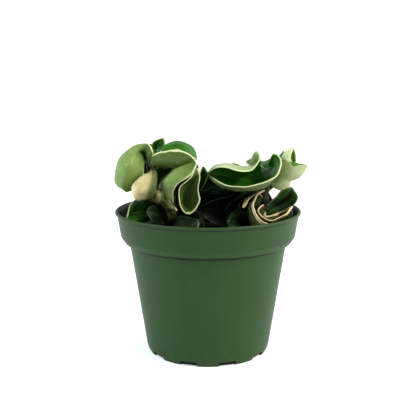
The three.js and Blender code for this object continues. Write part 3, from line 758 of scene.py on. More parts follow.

# %% [markdown]
# ## The leaves
#
# Every leaf starts from rows of three points: one margin, the midrib and the other margin. Each
# half bulges between them by its `cup`. Two smooth passes, one along the leaf and one across it,
# turn the rows into a sheet. The leaves that face the viewer were shaped point by point, and the
# tables below hold them in millimetres.

# %% Leaves given one by one
SHAPED_LEAVES = {
    "leaf_left_dome": ("green", (0.2, 0.05), (-45, 6, 145), [
        [(-45, 0, 156), (-48, 5, 154), (-50, 5, 151)],
        [(-44, -8, 166), (-50, 4, 161), (-51, 5, 155)],
        [(-48, -5, 173), (-55, 5, 166), (-52, 1, 158)],
        [(-56, 4, 170), (-59, -14, 164), (-52, -8, 156)],
        [(-66, 10, 160), (-65, -21, 155), (-52, -12, 149)],
        [(-73, 5, 143), (-69, -15, 141), (-58, -8, 138)],
    ], (-66, -7, 134)),
    "leaf_left_hood": ("green", (0.15, 0.3), (-46, 5, 155), [
        [(-40, 12, 156), (-42, 1, 155), (-45, -8, 163)],
        [(-33, 14, 157), (-34, 2, 153), (-37, -9, 167)],
        [(-22, 13, 157), (-25, 1, 153), (-19, -10, 167)],
        [(-16, 11, 152), (-19, 0, 150), (-9, -10, 158)],
        [(-23, 10, 146), (-32, -1, 145), (-14, -13, 148)],
        [(-27, 9, 138), (-39, -3, 139), (-24, -14, 141)],
        [(-27, 7, 128), (-36, -2, 129), (-28, -12, 133)],
    ], (-27, -4, 120)),
    "leaf_left_spoon": ("green", (-0.2, -0.2), (-10, 8, 152), [
        [(-14, -5, 146), (-10, 3, 144), (-7, -4, 145)],
        [(-23, -8, 137), (-15, 5, 133), (-8, -8, 136)],
        [(-23, -12, 127), (-17, 3, 123), (-7, -12, 128)],
        [(-21, -14, 120), (-16, -6, 118), (-10, -14, 121)],
    ], (-16, -15, 117)),
    "leaf_left_back_fin": ("green", (0.15, 0.2), (-42, 8, 160), [
        [(-47, 20, 164), (-44, 21, 162), (-40, 17, 163)],
        [(-46, 20, 171), (-42, 23, 169), (-36, 16, 169)],
    ], (-37, 17, 175)),
    "leaf_left_crown": ("green", (-0.2, -0.2), (-34, 8, 162), [
        [(-35, 13, 167), (-35, 6, 169), (-36, -4, 165)],
        [(-23, 19, 169), (-25, 8, 171), (-25, -4, 167)],
        [(-14, 16, 165), (-16, 6, 168), (-16, -4, 163)],
    ], (-9, 2, 159)),
    "leaf_left_small": ("green", (0.15, 0.15), (-10, 11, 128), [
        [(-8, 3, 139), (-6, 8, 136), (-3, 2, 140)],
        [(-7, 2, 147), (-4, 6, 146), (0, 0, 147)],
    ], (-4, 3, 153)),
    "leaf_left_cream": ("cream", (0.26, 0.2), (-46, 5, 151), [
        [(-48, -6, 149), (-45, -11, 148), (-42, -5, 148)],
        [(-54, -12, 146), (-48, -23, 144), (-43, -6, 143)],
        [(-59, -13, 139), (-51, -30, 139), (-44, -6, 136)],
        [(-58, -13, 132), (-51, -25, 132), (-47, -8, 131)],
    ], (-52, -15, 129)),
    "leaf_left_low": ("green", (-0.12, -0.12), (-38, 6, 116), [
        [(-48, -16, 112), (-48, -6, 118), (-47, -7, 126)],
        [(-56, -27, 109), (-56, -12, 118), (-55, -15, 130)],
        [(-62, -29, 111), (-62, -17, 117), (-62, -20, 126)],
    ], (-65, -24, 116)),
    "leaf_left_folded": ("dark", (0.1, 0.1), (-37, 5, 111), [
        [(-38, -26, 110), (-39, -14, 114), (-41, -12, 121)],
        [(-41, -33, 112), (-42, -23, 118), (-44, -17, 124)],
        [(-44, -35, 116), (-45, -28, 120), (-47, -23, 124)],
    ], (-48, -30, 121)),
    "leaf_left_belly": ("olive", (0.1, 0.1), (-37, 5, 106), [
        [(-36, -8, 106), (-32, -11, 108), (-28, -6, 108)],
        [(-37, -12, 113), (-32, -18, 115), (-25, -10, 115)],
        [(-39, -11, 118), (-33, -18, 121), (-26, -10, 120)],
        [(-40, -9, 122), (-36, -15, 124), (-31, -10, 123)],
    ], (-38, -12, 125)),
    "leaf_left_tan": ("tan", (0.15, 0.15), (-39, 7, 128), [
        [(-37, -3, 127), (-35, -8, 127), (-34, -4, 127)],
        [(-36, -11, 125), (-33, -16, 126), (-31, -13, 127)],
        [(-33, -17, 122), (-30, -21, 123), (-28, -18, 124)],
    ], (-25, -17, 120)),
    "leaf_left_bud": ("cream", (0.24, 0.24), (-40, 7, 134), [
        [(-44, -6, 131), (-40, -15, 134), (-37, -8, 132)],
        [(-43, -7, 127), (-40, -16, 128), (-37, -9, 128)],
    ], (-40, -11, 125)),
    "leaf_left_front_low": ("dark", (-0.15, -0.15), (-36, 4, 102), [
        [(-25, -36, 103), (-25, -24, 107), (-27, -16, 114)],
        [(-16, -45, 105), (-17, -32, 109), (-20, -23, 117)],
        [(-10, -47, 107), (-12, -37, 112), (-12, -32, 117)],
    ], (-7, -40, 115)),
    "leaf_right_long": ("green", (0.22, 0.35), (49, 17, 149), [
        [(51, 7, 158), (48, 12, 148), (37, 11, 160)],
        [(54, -2, 165), (48, 7, 145), (40, 4, 166)],
        [(59, -12, 159), (44, 6, 143), (42, -3, 161)],
        [(54, -19, 148), (35, 8, 141), (36, -9, 152)],
        [(35, -22, 141), (24, 8, 142), (26, -11, 151)],
        [(20, -20, 140), (12, 7, 145), (15, -10, 154)],
        [(10, -13, 142), (5, 5, 146), (7, -6, 153)],
        [(4, -4, 145), (2, 4, 146), (2, -1, 150)],
    ], (0, 2, 147)),
    "leaf_right_shade": ("dark", (-0.15, -0.15), (10, 20, 134), [
        [(12, 8, 130), (11, 17, 135), (12, 14, 146)],
        [(4, 8, 129), (3, 19, 137), (4, 15, 146)],
        [(-1, 10, 129), (-1, 18, 136), (-1, 14, 145)],
        [(-5, 13, 132), (-5, 17, 136), (-4, 14, 142)],
    ], (-6, 16, 136)),
    "leaf_right_star": ("brown", (0.15, 0.15), (49, 12, 140), [
        [(60, -1, 134), (54, 7, 139), (61, 15, 137)],
        [(72, -6, 142), (59, 5, 148), (68, 15, 143)],
        [(80, -11, 156), (60, 3, 156), (74, 11, 152)],
        [(69, -10, 154), (62, 1, 163), (73, 7, 158)],
        [(67, -7, 162), (67, 0, 167), (72, 3, 163)],
    ], (70, 0, 169)),
    "leaf_right_wing": ("green", (-0.15, -0.15), (46, 9, 111), [
        [(51, 7, 122), (55, 13, 118), (61, 8, 116)],
        [(56, 4, 128), (62, 14, 122), (70, 5, 120)],
        [(60, 3, 133), (67, 9, 127), (73, 1, 124)],
        [(65, 1, 136), (69, 4, 133), (74, 0, 129)],
    ], (69, 3, 136)),
    "leaf_right_scroll": ("tan", (0.12, 0.12), (47, 9, 116), [
        [(48, -1, 114), (44, -3, 117), (45, -6, 123)],
        [(47, -8, 114), (42, -13, 114), (40, -19, 121)],
        [(51, -7, 114), (47, -17, 111), (43, -25, 117)],
        [(55, -4, 115), (54, -15, 111), (51, -26, 114)],
        [(59, -1, 116), (61, -11, 113), (61, -23, 118)],
    ], (68, -13, 123)),
    "leaf_right_bowl": ("tan", (0.15, 0.15), (47, 9, 125), [
        [(45, 9, 117), (42, 5, 123), (41, -1, 131)],
        [(41, 7, 109), (35, -6, 118), (37, -18, 126)],
        [(41, 0, 105), (36, -15, 111), (38, -27, 120)],
        [(45, -10, 104), (40, -23, 107), (42, -33, 115)],
    ], (47, -32, 112)),
    "leaf_right_dry": ("cream", (0.1, 0.1), (48, 9, 133), [
        [(35, -6, 129), (33, -3, 128), (32, 1, 128)],
        [(31, -11, 125), (30, -8, 124), (29, -5, 124)],
    ], (28, -14, 122)),
    "leaf_right_low": ("dark", (-0.15, -0.15), (43, 6, 102), [
        [(28, -14, 101), (30, 0, 105), (33, 7, 114)],
        [(23, -26, 103), (23, -10, 109), (25, -2, 117)],
        [(18, -29, 105), (18, -18, 111), (18, -11, 116)],
    ], (15, -20, 111)),
    "leaf_left_back_b": ("dark", (0.1, 0.1), (-42, 8, 139), [
        [(-52, 13, 145), (-47, 17, 147), (-43, 13, 145)],
        [(-54, 17, 155), (-49, 22, 156), (-43, 18, 154)],
        [(-53, 22, 163), (-49, 28, 164), (-44, 25, 162)],
        [(-51, 27, 167), (-49, 29, 167), (-46, 27, 166)],
    ], (-49, 28, 169)),
    # This leaf is stretched into the fold between the hood and the spoon and given the dark look: a
    # dark sheet that stands for the shade in that fold.
    "leaf_left_back_f": ("dark", (0.1, 0.1), (-11, 13, 138), [
        [(-15, 17, 126), (-15, 21, 134), (-15, 18, 144)],
        [(-23, 17, 120), (-23, 23, 130), (-23, 19, 145)],
        [(-30, 16, 120), (-30, 21, 131), (-29, 18, 141)],
    ], (-34, 17, 130)),
    "leaf_middle_back": ("dark", (0.1, 0.1), (12, 22, 127), [
        [(20, 22, 133), (20, 27, 127), (19, 22, 121)],
        [(32, 25, 133), (32, 30, 126), (32, 25, 118)],
        [(42, 24, 132), (42, 29, 125), (41, 24, 119)],
    ], (48, 25, 124)),
}
print("leaves shaped by hand:", len(SHAPED_LEAVES))

# %% [markdown]
# The leaves deeper in each rope follow a rule instead. A blade of a given length and width leaves
# the stem at a point, heads and rises by given angles, rolls about its midrib, bends back along
# its length, folds its halves up, twists, and has a margin that ruffles.

# %% Leaves grown by a rule
GROWN_LEAVES = {
    "leaf_middle_front": ("dark", (14, 25, 106), -150, 10, 75, 50, 30, 80, 50, -25, 6),
    "leaf_middle_right": ("dark", (13, 25, 111), -75, 20, -90, 42, 32, 100, 30, -50, 4),
    "leaf_middle_left": ("dark", (10, 23, 123), -153, 10, -5, 41, 33, 80, 50, 60, 20),
    "leaf_middle_top": ("green", (10, 23, 124), 60, 10, -5, 43, 36, 45, 40, -20, 0),
    "leaf_middle_far": ("green", (9, 21, 130), 50, 50, -20, 39, 32, 55, 10, 25, 20),
    "leaf_left_back_a": ("green", (-42, 6, 140), 95, 55, -5, 51, 31, 155, 15, 10, 0),
    "leaf_left_back_c": ("green", (-26, 7, 161), 145, 15, -45, 52, 30, 110, 10, 60, 10),
    "leaf_left_back_d": ("green", (-19, 8, 159), 90, -20, -10, 52, 31, 60, 60, -35, 8),
    "leaf_left_back_e": ("dark", (-37, 6, 121), 80, -15, -70, 52, 36, 60, 45, 10, 2),
    "leaf_right_back_a": ("green", (49, 15, 144), 90, 25, 0, 52, 36, 90, 10, 60, 12),
    "leaf_right_back_b": ("dark", (49, 9, 136), -170, 10, -25, 47, 31, 125, 15, 30, 0),
    "leaf_right_back_c": ("green", (47, 9, 129), 115, 45, -10, 48, 30, 145, 10, 35, 12),
    "leaf_right_back_d": ("dark", (46, 9, 111), 110, 30, -30, 40, 31, 40, 10, -10, 20),
    "leaf_right_back_e": ("dark", (44, 8, 106), -15, 30, 0, 28, 36, 40, 10, 40, 0),
    "leaf_right_back_f": ("green", (50, 16, 147), 75, 55, 5, 44, 30, 130, 10, -35, 16),
}
ROW_PLACES = (0.16, 0.38, 0.6, 0.8, 0.94)
WIDEST_EARLY = 0.75
OUTLINE_FULLNESS = 0.6
RUFFLE_WAVES = 8
RUFFLE_SHIFT = 2
GROWN_CUP = (0.15, 0.15)


def turn(axis, degrees):
    """A rotation matrix about x, y or z."""
    c, s = math.cos(math.radians(degrees)), math.sin(math.radians(degrees))
    i, j = {"x": (1, 2), "y": (2, 0), "z": (0, 1)}[axis]
    matrix = np.eye(3)
    matrix[i, i] = matrix[j, j] = c
    matrix[i, j], matrix[j, i] = -s, s
    return matrix


def grown_leaf(look, base, heading, rise, roll, length, width, bend, fold, twist, ruffle):
    arc = math.radians(bend)
    place = turn("z", heading) @ turn("y", -rise) @ turn("x", roll)

    def rib(u):
        return np.array([length * math.sin(arc * u) / arc, 0,
                         length * (math.cos(arc * u) - 1) / arc])

    rows = []
    for u in ROW_PLACES:
        ahead = np.array([math.cos(arc * u), 0, -math.sin(arc * u)])
        level = np.array([0.0, 1.0, 0.0])
        swing = math.radians(twist) * u
        side = level * math.cos(swing) + np.cross(ahead, level) * math.sin(swing)
        up = np.cross(ahead, side)
        half = width / 2 * math.sin(math.pi * u ** WIDEST_EARLY) ** OUTLINE_FULLNESS
        row = []
        for sign in (1, 0, -1):
            wave = math.sin(RUFFLE_WAVES * u + RUFFLE_SHIFT * sign)
            lift = math.radians(fold + ruffle * wave)
            reach = side * sign * math.cos(lift) + up * abs(sign) * math.sin(lift)
            row.append(place @ (rib(u) + half * reach) + base)
        rows.append(row)
    return look, GROWN_CUP, base, rows, place @ rib(1.0) + base


leaves = dict(SHAPED_LEAVES)
leaves.update({name: grown_leaf(*rule) for name, rule in GROWN_LEAVES.items()})
print("leaves:", len(leaves))

# %% [markdown]
# The stems swell at every leaf, so they are made once the places of the leaves are known.

# %% Making the stems
JOINT_SWELL = 0.9
JOINT_REACH = 3.0
STEM_POINTS = 220
STEM_UNEVEN = 0.25
STEM_END_SHARE = 0.02


def stem_curve(name, route):
    """A poly curve along the route whose radius grows near every leaf joint."""
    line = spline(route, np.linspace(0, 1, STEM_POINTS))
    joints = np.array([leaf[2] for leaf in leaves.values()], float)
    away = np.linalg.norm(line[:, None] - joints[None], axis=2)
    swell = JOINT_SWELL * np.exp(-(away / JOINT_REACH) ** 2).max(axis=1)
    uneven = np.array([noise.noise(Vector(point) * 0.22) for point in line]) * STEM_UNEVEN
    radii = STEM_RADIUS + swell + uneven
    end = np.linspace(0, 1, STEM_POINTS)
    radii *= np.sqrt(np.clip((1.0 - end) / STEM_END_SHARE, 0.02, 1.0))
    curve = bpy.data.curves.new(name, "CURVE")
    curve.dimensions = "3D"
    strand = curve.splines.new("POLY")
    strand.points.add(STEM_POINTS - 1)
    for point, place, radius in zip(strand.points, line, radii):
        point.co = (*(place * MM), 1.0)
        point.radius = radius * MM
    stem = bpy.data.objects.new(name, curve)
    scene.collection.objects.link(stem)
    return stem


def stem_tree():
    graph, given = new_tree("sweep_stem", [
        ("Sides", "NodeSocketInt", 20), ("Roughness depth", "NodeSocketFloat", 0.0002),
        ("Material", "NodeSocketMaterial", None)])
    section = graph.add("GeometryNodeCurvePrimitiveCircle", {},
                        {"Resolution": given["Sides"], "Radius": 1.0})
    radius = graph.add("GeometryNodeInputRadius")
    tube = graph.add("GeometryNodeCurveToMesh", {},
                     {"Curve": given["Geometry"], "Profile Curve": section, "Scale": radius,
                      "Fill Caps": True})
    place = graph.add("GeometryNodeInputPosition")
    bark = graph.noise(place, 700.0, 3.0)
    normal = graph.add("GeometryNodeInputNormal")
    push = graph.add("ShaderNodeVectorMath", {"operation": "SCALE"},
                     {0: normal, "Scale": (bark - 0.5) * given["Roughness depth"] * 2.0})
    rough = graph.add("GeometryNodeSetPosition", {}, {"Geometry": tube, "Offset": push})
    finished = graph.add("GeometryNodeSetMaterial", {},
                         {"Geometry": rough, "Material": given["Material"]})
    return end_tree(graph, finished)


def stem_finish():
    material, graph, shader, place = new_material("stem_bark")
    flecks = graph.smooth(graph.noise(place, 1300.0, 3.0, 0.6), 0.55, 0.68)
    patch = graph.smooth(graph.noise(place, 160.0, 3.0), 0.4, 0.62)
    tone = graph.mix(patch, (0.028, 0.019, 0.010), (0.026, 0.034, 0.012))
    tone = graph.mix(flecks * 0.5, tone, (0.085, 0.062, 0.036))
    bump = graph.bump(flecks, 0.5, 0.0003)
    feed(graph, shader, base_color=tone, roughness=0.6 + flecks * 0.2, normal=bump)
    return material


sweep = stem_tree()
bark = stem_finish()
for name, route in SHOOTS.items():
    curve = stem_curve(name + "_curve", route)
    add_tree(curve, sweep, Material=bark)
    stem = bpy.data.objects.new(name + "_bark", finished_mesh(curve))
    scene.collection.objects.link(stem)
    bpy.data.objects.remove(curve)
    stem.data.shade_smooth()
    settle(stem, "stem_bark", name)

# %% [markdown]
# Now the sheet of a leaf. The rows get a narrow row at the stalk and one at the tip, and each
# half gets its bulging middle line. Reading five lines along the leaf and then one line across
# them at many places gives a fine grid of points.

# %% A leaf as a sheet
NECK_HALF_WIDTH = 1.6
TIP_HALF_WIDTH = 0.7


def unit(vectors):
    return vectors / (np.linalg.norm(vectors, axis=-1, keepdims=True) + 1e-12)


def leaf_sheet(cup, base, rows, tip, along, across):
    """Points of a leaf's middle surface at the given places along and across it."""
    rows = np.asarray(rows, float)

    def end_row(middle, like, half):
        side = unit(like[2] - like[0]) * half
        return np.array([middle - side, middle, middle + side])

    everything = np.concatenate([[end_row(np.asarray(base, float), rows[0], NECK_HALF_WIDTH)],
                                 rows,
                                 [end_row(np.asarray(tip, float), rows[-1], TIP_HALF_WIDTH)]])
    left, rib, right = everything[:, 0], everything[:, 1], everything[:, 2]
    ahead = unit(np.gradient(rib, axis=0))

    def bulge(start, end, share):
        out = unit(np.cross(end - start, ahead))
        width = np.linalg.norm(end - start, axis=1, keepdims=True)
        return (start + end) / 2 - out * share * width

    lines = np.stack([left, bulge(left, rib, cup[0]), rib, bulge(rib, right, cup[1]), right],
                     axis=1)
    swept = spline(lines, along)
    return spline(swept.transpose(1, 0, 2), across).transpose(1, 0, 2)


print("a sheet has", leaf_sheet(*leaves["leaf_right_star"][1:], np.linspace(0, 1, 5),
                                np.linspace(0, 1, 7)).shape, "points")

# %% [markdown]
# No two leaves carry the same amount of cream. The table gives its share along the left and the
# right margin of a leaf, from stalk to tip. A second table paints light and shade in the same way
# on the left and the right part: above nothing both faces are painted darker as shade, and below
# nothing the underside is painted paler as light. Both are read between evenly spaced places, so a
# row may be long or short. Two more tables hold one number for a whole leaf: how vivid its upper
# face is, and how much painted shade darkens the leaf, where a number below nothing paints a pale
# sheen instead.

# %% Cream, and painted shade and light, along a leaf
MARGINS = {
    "leaf_left_dome": ((0.5, 1.0, 1.0, 0.4), (0.2, 0.3, 0.3)),
    "leaf_left_hood": ((0.3, 0.5, 0.5), (0.8, 1.0, 0.9, 1.0, 1.0)),
    "leaf_left_spoon": ((0.6, 1.0, 1.0, 1.1), (0.6, 1.0, 1.0, 1.1)),
    "leaf_left_back_fin": ((0.0, 0.0, 0.2), (0.3, 1.0, 0.8)),
    "leaf_left_crown": ((0.0, 0.1, 0.1), (0.7, 0.9, 0.9)),
    "leaf_left_small": ((0.5, 0.9, 0.2), (0.1, 0.1, 0.1)),
    "leaf_left_cream": ((0.3, 0.6, 0.5), (0.1,)),
    "leaf_left_low": ((0.2, 0.3, 0.9), (0.1, 0.5, 0.9)),
    "leaf_left_folded": ((0.05,), (0.05, 0.25)),
    "leaf_left_belly": ((0.1,), (0.1,)),
    "leaf_left_front_low": ((0.1, 0.1, 0.6), (0.05,)),
    "leaf_left_tan": ((0.3, 0.4), (0.3, 0.4)),
    "leaf_left_back_b": ((0.1,), (0.1,)),
    "leaf_left_back_f": ((0.1,), (0.1,)),
    "leaf_right_long": ((0.0, 0.3, 0.9, 1.7, 1.7, 1.2, 0.3, 0.0),
                        (0.9, 1.2, 1.4, 1.2, 1.0, 1.0, 0.5, 0.0)),
    "leaf_right_shade": ((0.1,), (0.1,)),
    "leaf_right_wing": ((0.5, 0.8, 0.5), (0.1, 0.15, 0.1)),
    "leaf_right_scroll": ((0.3, 0.7, 1.0, 1.0), (0.3, 0.7, 1.0, 1.0)),
    "leaf_right_bowl": ((0.2, 0.35, 0.7, 1.0, 1.0), (0.2, 0.35, 0.7, 1.0, 1.0)),
    "leaf_right_low": ((0.1,), (0.15,)),
    "leaf_right_back_b": ((0.05,), (0.1,)),
    "leaf_middle_front": ((0.1,), (0.1,)),
    "leaf_middle_right": ((0.2,), (0.1,)),
    "leaf_middle_left": ((0.2,), (0.1,)),
    "leaf_middle_back": ((0.1,), (0.1,)),
}
PLAIN_MARGIN = ((0.3, 0.9, 0.8), (0.3, 0.9, 0.8))
# Painted shade and light: above nothing a part is painted darker as shade, below nothing its
# underside is painted paler as light.
SHADE_AND_LIGHT = {
    "leaf_left_dome": ((0.5, 0.5, 0.3, 0.0, 0.1, 0.2), (0.6, 0.7, 0.6, 0.2, 0.2, 0.3)),
    "leaf_left_hood": ((0.5, 0.55, 0.7, 0.65, 0.1, -0.35, -0.3),
                       (0.5, 0.55, 0.7, 0.65, 0.1, -0.35, -0.3)),
    "leaf_right_long": ((0.0, 0.0, -0.1, -0.3, -0.3, -0.2, 0.0, 0.2),
                        (-0.3, -0.3, -0.3, -0.3, -0.6, -0.8, -0.6, -0.2)),
    "leaf_left_spoon": ((0.2, 0.7, 0.7, 0.5, 0.3), (-0.3, -0.3, 0.0, 0.3, 0.3)),
    "leaf_left_cream": ((0.8, 0.4, 0.0, 0.0, 0.4), (0.4, 0.8, 0.9, 0.9, 0.9)),
    "leaf_left_bud": ((0.5,), (0.9,)),
}
NO_SHADE_OR_LIGHT = ((0.0,), (0.0,))
SHADE_AND_LIGHT_STEP = 0.13
FRESH = {
    "leaf_left_crown": 0.35, "leaf_left_back_fin": 0.65, "leaf_right_long": 0.25,
    "leaf_right_star": 0.50,
}
# Painted shade for leaves deep in the ropes; a number below nothing paints a pale sheen instead.
SHADE_AND_SHEEN = {
    "leaf_middle_front": 0.75, "leaf_middle_right": 0.55, "leaf_middle_left": 0.5,
    "leaf_middle_back": 0.2, "leaf_right_back_b": 0.4, "leaf_left_folded": 0.4,
    "leaf_left_low": 0.35, "leaf_left_front_low": 0.5, "leaf_right_low": 0.3,
    "leaf_left_back_b": 0.3, "leaf_right_wing": -0.08,
}


def profile(values, along):
    """Evenly spaced values from stalk to tip, read at the given places."""
    return np.interp(along, np.linspace(0, 1, len(values)), values)


def margin_share(name, along, across):
    left, right = (profile(values, along)[:, None] for values in MARGINS.get(name, PLAIN_MARGIN))
    return left * (1 - across) + right * across


def shade_and_light_share(name, along, across):
    left, right = (profile(values, along)[:, None] for values in SHADE_AND_LIGHT.get(name, NO_SHADE_OR_LIGHT))
    t = np.clip((across - 0.5) / SHADE_AND_LIGHT_STEP, 0, 1)
    step = t * t * (3 - 2 * t)
    return left * (1 - step) + right * step


print("leaves with margins of their own:", len(MARGINS))

# %% [markdown]
# A leaf is thick and juicy, and its margin is round. The thickness of the sheet falls to nothing
# over the last millimetre before the margin, like half a circle, which gives that roundness
# whatever the width. A groove runs along the midrib above, with a ridge below it, and slow noise
# makes the blade uneven. Most margins are a little ragged, the brown ones by far the most. Some
# numbers are kept at every point for the material, such as the distance from the margin.

# %% A leaf as a solid
LEAF_THICKNESS = 1.8
ALONG_CELLS = 56
ACROSS_CELLS = 30
RAGGED = {"brown": 0.30, "tan": 0.06, "green": 0.03, "dark": 0.03}
MARGIN_THINNING = 0.45
LEAST_THICKNESS = 0.08
NECK_EXTRA = 0.3
NECK_FADE = 12
TIP_CROWDING = 1.4
CALM_STALK = 8.0
GROOVE_DEPTH = 0.28
GROOVE_HALF_WIDTH = 0.9
GROOVE_CLEAR = 3.0
RIDGE_SHARE = 0.8


def sheet_distances(sheet):
    """Millimetres over the sheet from every point to the margin, the midrib and the stalk."""
    steps = np.linalg.norm(np.diff(sheet, axis=1), axis=2)
    zeros = np.zeros((len(sheet), 1))
    from_left = np.concatenate([zeros, np.cumsum(steps, axis=1)], axis=1)
    from_right = from_left[:, -1:] - from_left
    forward = np.linalg.norm(np.diff(sheet, axis=0), axis=2)
    row = np.zeros((1, sheet.shape[1]))
    from_base = np.concatenate([row, np.cumsum(forward, axis=0)], axis=0)
    from_tip = from_base[-1:] - from_base
    middle = sheet.shape[1] // 2
    from_rib = np.abs(from_left - from_left[:, middle:middle + 1])
    return np.minimum(np.minimum(from_left, from_right), from_tip), from_rib, from_base


def leaf_arrays(leaf, seed):
    look, cup, base, rows, tip = leaf
    s = np.linspace(0, 1, ALONG_CELLS + 1)
    along = 1 - (1 - s) ** TIP_CROWDING
    across = 0.5 + 0.5 * np.sin(math.pi / 2 * np.linspace(-1, 1, ACROSS_CELLS + 1))
    sheet = leaf_sheet(cup, base, rows, tip, along, across)
    torn = RAGGED.get(look, 0.0)
    nicks = np.array([[noise.noise(Vector((seed * 5.1 + place * 16.0, side * 9.0, 0.3)))
                       for side in (-1, 1)] for place in along])
    nicks = torn * np.clip(nicks, 0, 1) * np.clip(along * 4, 0, 1)[:, None]
    middle = sheet[:, ACROSS_CELLS // 2:ACROSS_CELLS // 2 + 1]
    pull = np.where(across < 0.5, nicks[:, :1], nicks[:, 1:])
    sheet = sheet + (middle - sheet) * (pull * np.abs(2 * across - 1) ** 3)[..., None]
    normal = unit(np.cross(np.gradient(sheet, axis=1), np.gradient(sheet, axis=0)))
    edge, rib, reach = sheet_distances(sheet)
    shift = Vector((seed * 3.7, seed * 1.3, 0.0))
    wave = np.array([[noise.noise(Vector(p) * 0.11 + shift) * 0.55
                      + noise.noise(Vector(p) * 0.31 + shift) * 0.16 for p in row]
                     for row in sheet.tolist()])
    calm = np.clip(reach / CALM_STALK, 0, 1)
    sheet = sheet + normal * (wave * calm)[..., None]
    side = np.abs(2 * across - 1)[None, :]
    thick = LEAF_THICKNESS * (1 - MARGIN_THINNING * side ** 3)
    thick = thick * (1 + NECK_EXTRA * np.exp(-(NECK_FADE * along[:, None]) ** 2))
    near = np.clip(edge / (thick / 2), 0, 1)
    thick = np.maximum(thick * np.sqrt(1 - (1 - near) ** 2), LEAST_THICKNESS)
    groove = GROOVE_DEPTH * np.exp(-(rib / GROOVE_HALF_WIDTH) ** 2)
    groove = groove * calm * np.clip(edge / GROOVE_CLEAR, 0, 1)
    upper = sheet + normal * (thick / 2 - groove)[..., None]
    lower = sheet - normal * (thick / 2 + RIDGE_SHARE * groove)[..., None]
    return upper, lower, edge, rib, reach, along, across


def leaf_solid(name, leaf, material, seed):
    upper, lower, edge, rib, reach, along, across = leaf_arrays(leaf, seed)
    count = upper.shape[0] * upper.shape[1]
    grid = np.arange(count).reshape(upper.shape[:2])
    a, b, c, d = grid[:-1, :-1], grid[:-1, 1:], grid[1:, 1:], grid[1:, :-1]
    top = np.stack([a, b, c, d], axis=-1).reshape(-1, 4)
    bottom = np.stack([a, d, c, b], axis=-1).reshape(-1, 4) + count
    ring = np.concatenate([grid[0, :-1], grid[:-1, -1], grid[-1, :0:-1], grid[:0:-1, 0]])
    ahead = np.roll(ring, -1)
    band = np.stack([ahead, ring, ring + count, ahead + count], axis=-1)
    faces = np.concatenate([top, bottom, band]).tolist()
    points = np.concatenate([upper.reshape(-1, 3), lower.reshape(-1, 3)]) * MM
    mesh = mesh_from(name, points, faces)

    def both_faces(values):
        return np.tile(values.ravel(), 2)

    def whole_leaf(value):
        return np.full(2 * count, value)

    facts = {
        "edge": both_faces(edge), "rib": both_faces(rib), "reach": both_faces(reach),
        "upper": np.repeat([1.0, 0.0], count), "tint": whole_leaf((seed * 0.37) % 1.0),
        "rim": both_faces(margin_share(name, along, across)),
        "deep": both_faces(shade_and_light_share(name, along, across)),
        "fresh": whole_leaf(FRESH.get(name, 0.0)), "dim": whole_leaf(SHADE_AND_SHEEN.get(name, 0.0)),
    }
    for label, values in facts.items():
        layer = mesh.attributes.new(label, "FLOAT", "POINT")
        layer.data.foreach_set("value", values.astype(np.float32))
    return add_object(name + "_blade", mesh, material)


# %% [markdown]
# ## The finish of a leaf
#
# One recipe gives every leaf its finish, with other numbers for each look. The upper face is dark
# and glossy, the underside pale and satin. Faint side veins slant away from the midrib, which is
# a paler line. Slow noise mottles both faces, and a cream border of uneven width follows the
# margin, because that is where this form of the plant has lost its green.

# %% Leaf finish
LOOKS = {
    "green": dict(slot="leaf_green", upper=((0.008, 0.060, 0.004), (0.024, 0.135, 0.009)),
                  under=((0.150, 0.245, 0.060), (0.245, 0.345, 0.110)),
                  margin=(0.66, 0.68, 0.40), border=1.0, dry=0.10, neck=0.0, veins=0.04),
    # The dark look is the green finish darkened as painted shade, for leaves that lie in shade deep
    # in the ropes; its cream margin is shaded too.
    "dark": dict(slot="leaf_dark", upper=((0.004, 0.020, 0.003), (0.010, 0.048, 0.007)),
                 under=((0.008, 0.030, 0.006), (0.022, 0.060, 0.014)),
                 margin=(0.24, 0.32, 0.13), border=0.5, dry=0.12, neck=0.0, veins=0.04),
    "olive": dict(slot="leaf_olive", upper=((0.022, 0.032, 0.008), (0.045, 0.056, 0.014)),
                  under=((0.022, 0.030, 0.008), (0.060, 0.062, 0.018)),
                  margin=(0.16, 0.16, 0.06), border=0.5, dry=0.25, neck=0.0, veins=0.04),
    "cream": dict(slot="leaf_cream", upper=((0.50, 0.42, 0.19), (0.72, 0.63, 0.36)),
                  under=((0.44, 0.36, 0.16), (0.76, 0.66, 0.38)),
                  margin=(0.62, 0.52, 0.28), border=0.7, dry=0.55, neck=0.8, veins=0.006),
    "brown": dict(slot="leaf_edge_brown", upper=((0.05, 0.14, 0.025), (0.11, 0.24, 0.06)),
                  under=((0.42, 0.52, 0.22), (0.62, 0.70, 0.40)),
                  margin=(0.62, 0.52, 0.31), border=1.2, dry=0.9, neck=0.0, veins=0.035),
    "tan": dict(slot="leaf_tan", upper=((0.020, 0.034, 0.010), (0.055, 0.070, 0.020)),
                under=((0.060, 0.085, 0.020), (0.150, 0.170, 0.055)),
                margin=(0.72, 0.57, 0.34), border=3.0, dry=0.5, neck=0.0, veins=0.04),
}


LEAF_FACTS = ("edge", "rib", "reach", "upper", "tint", "rim", "deep", "fresh", "dim")


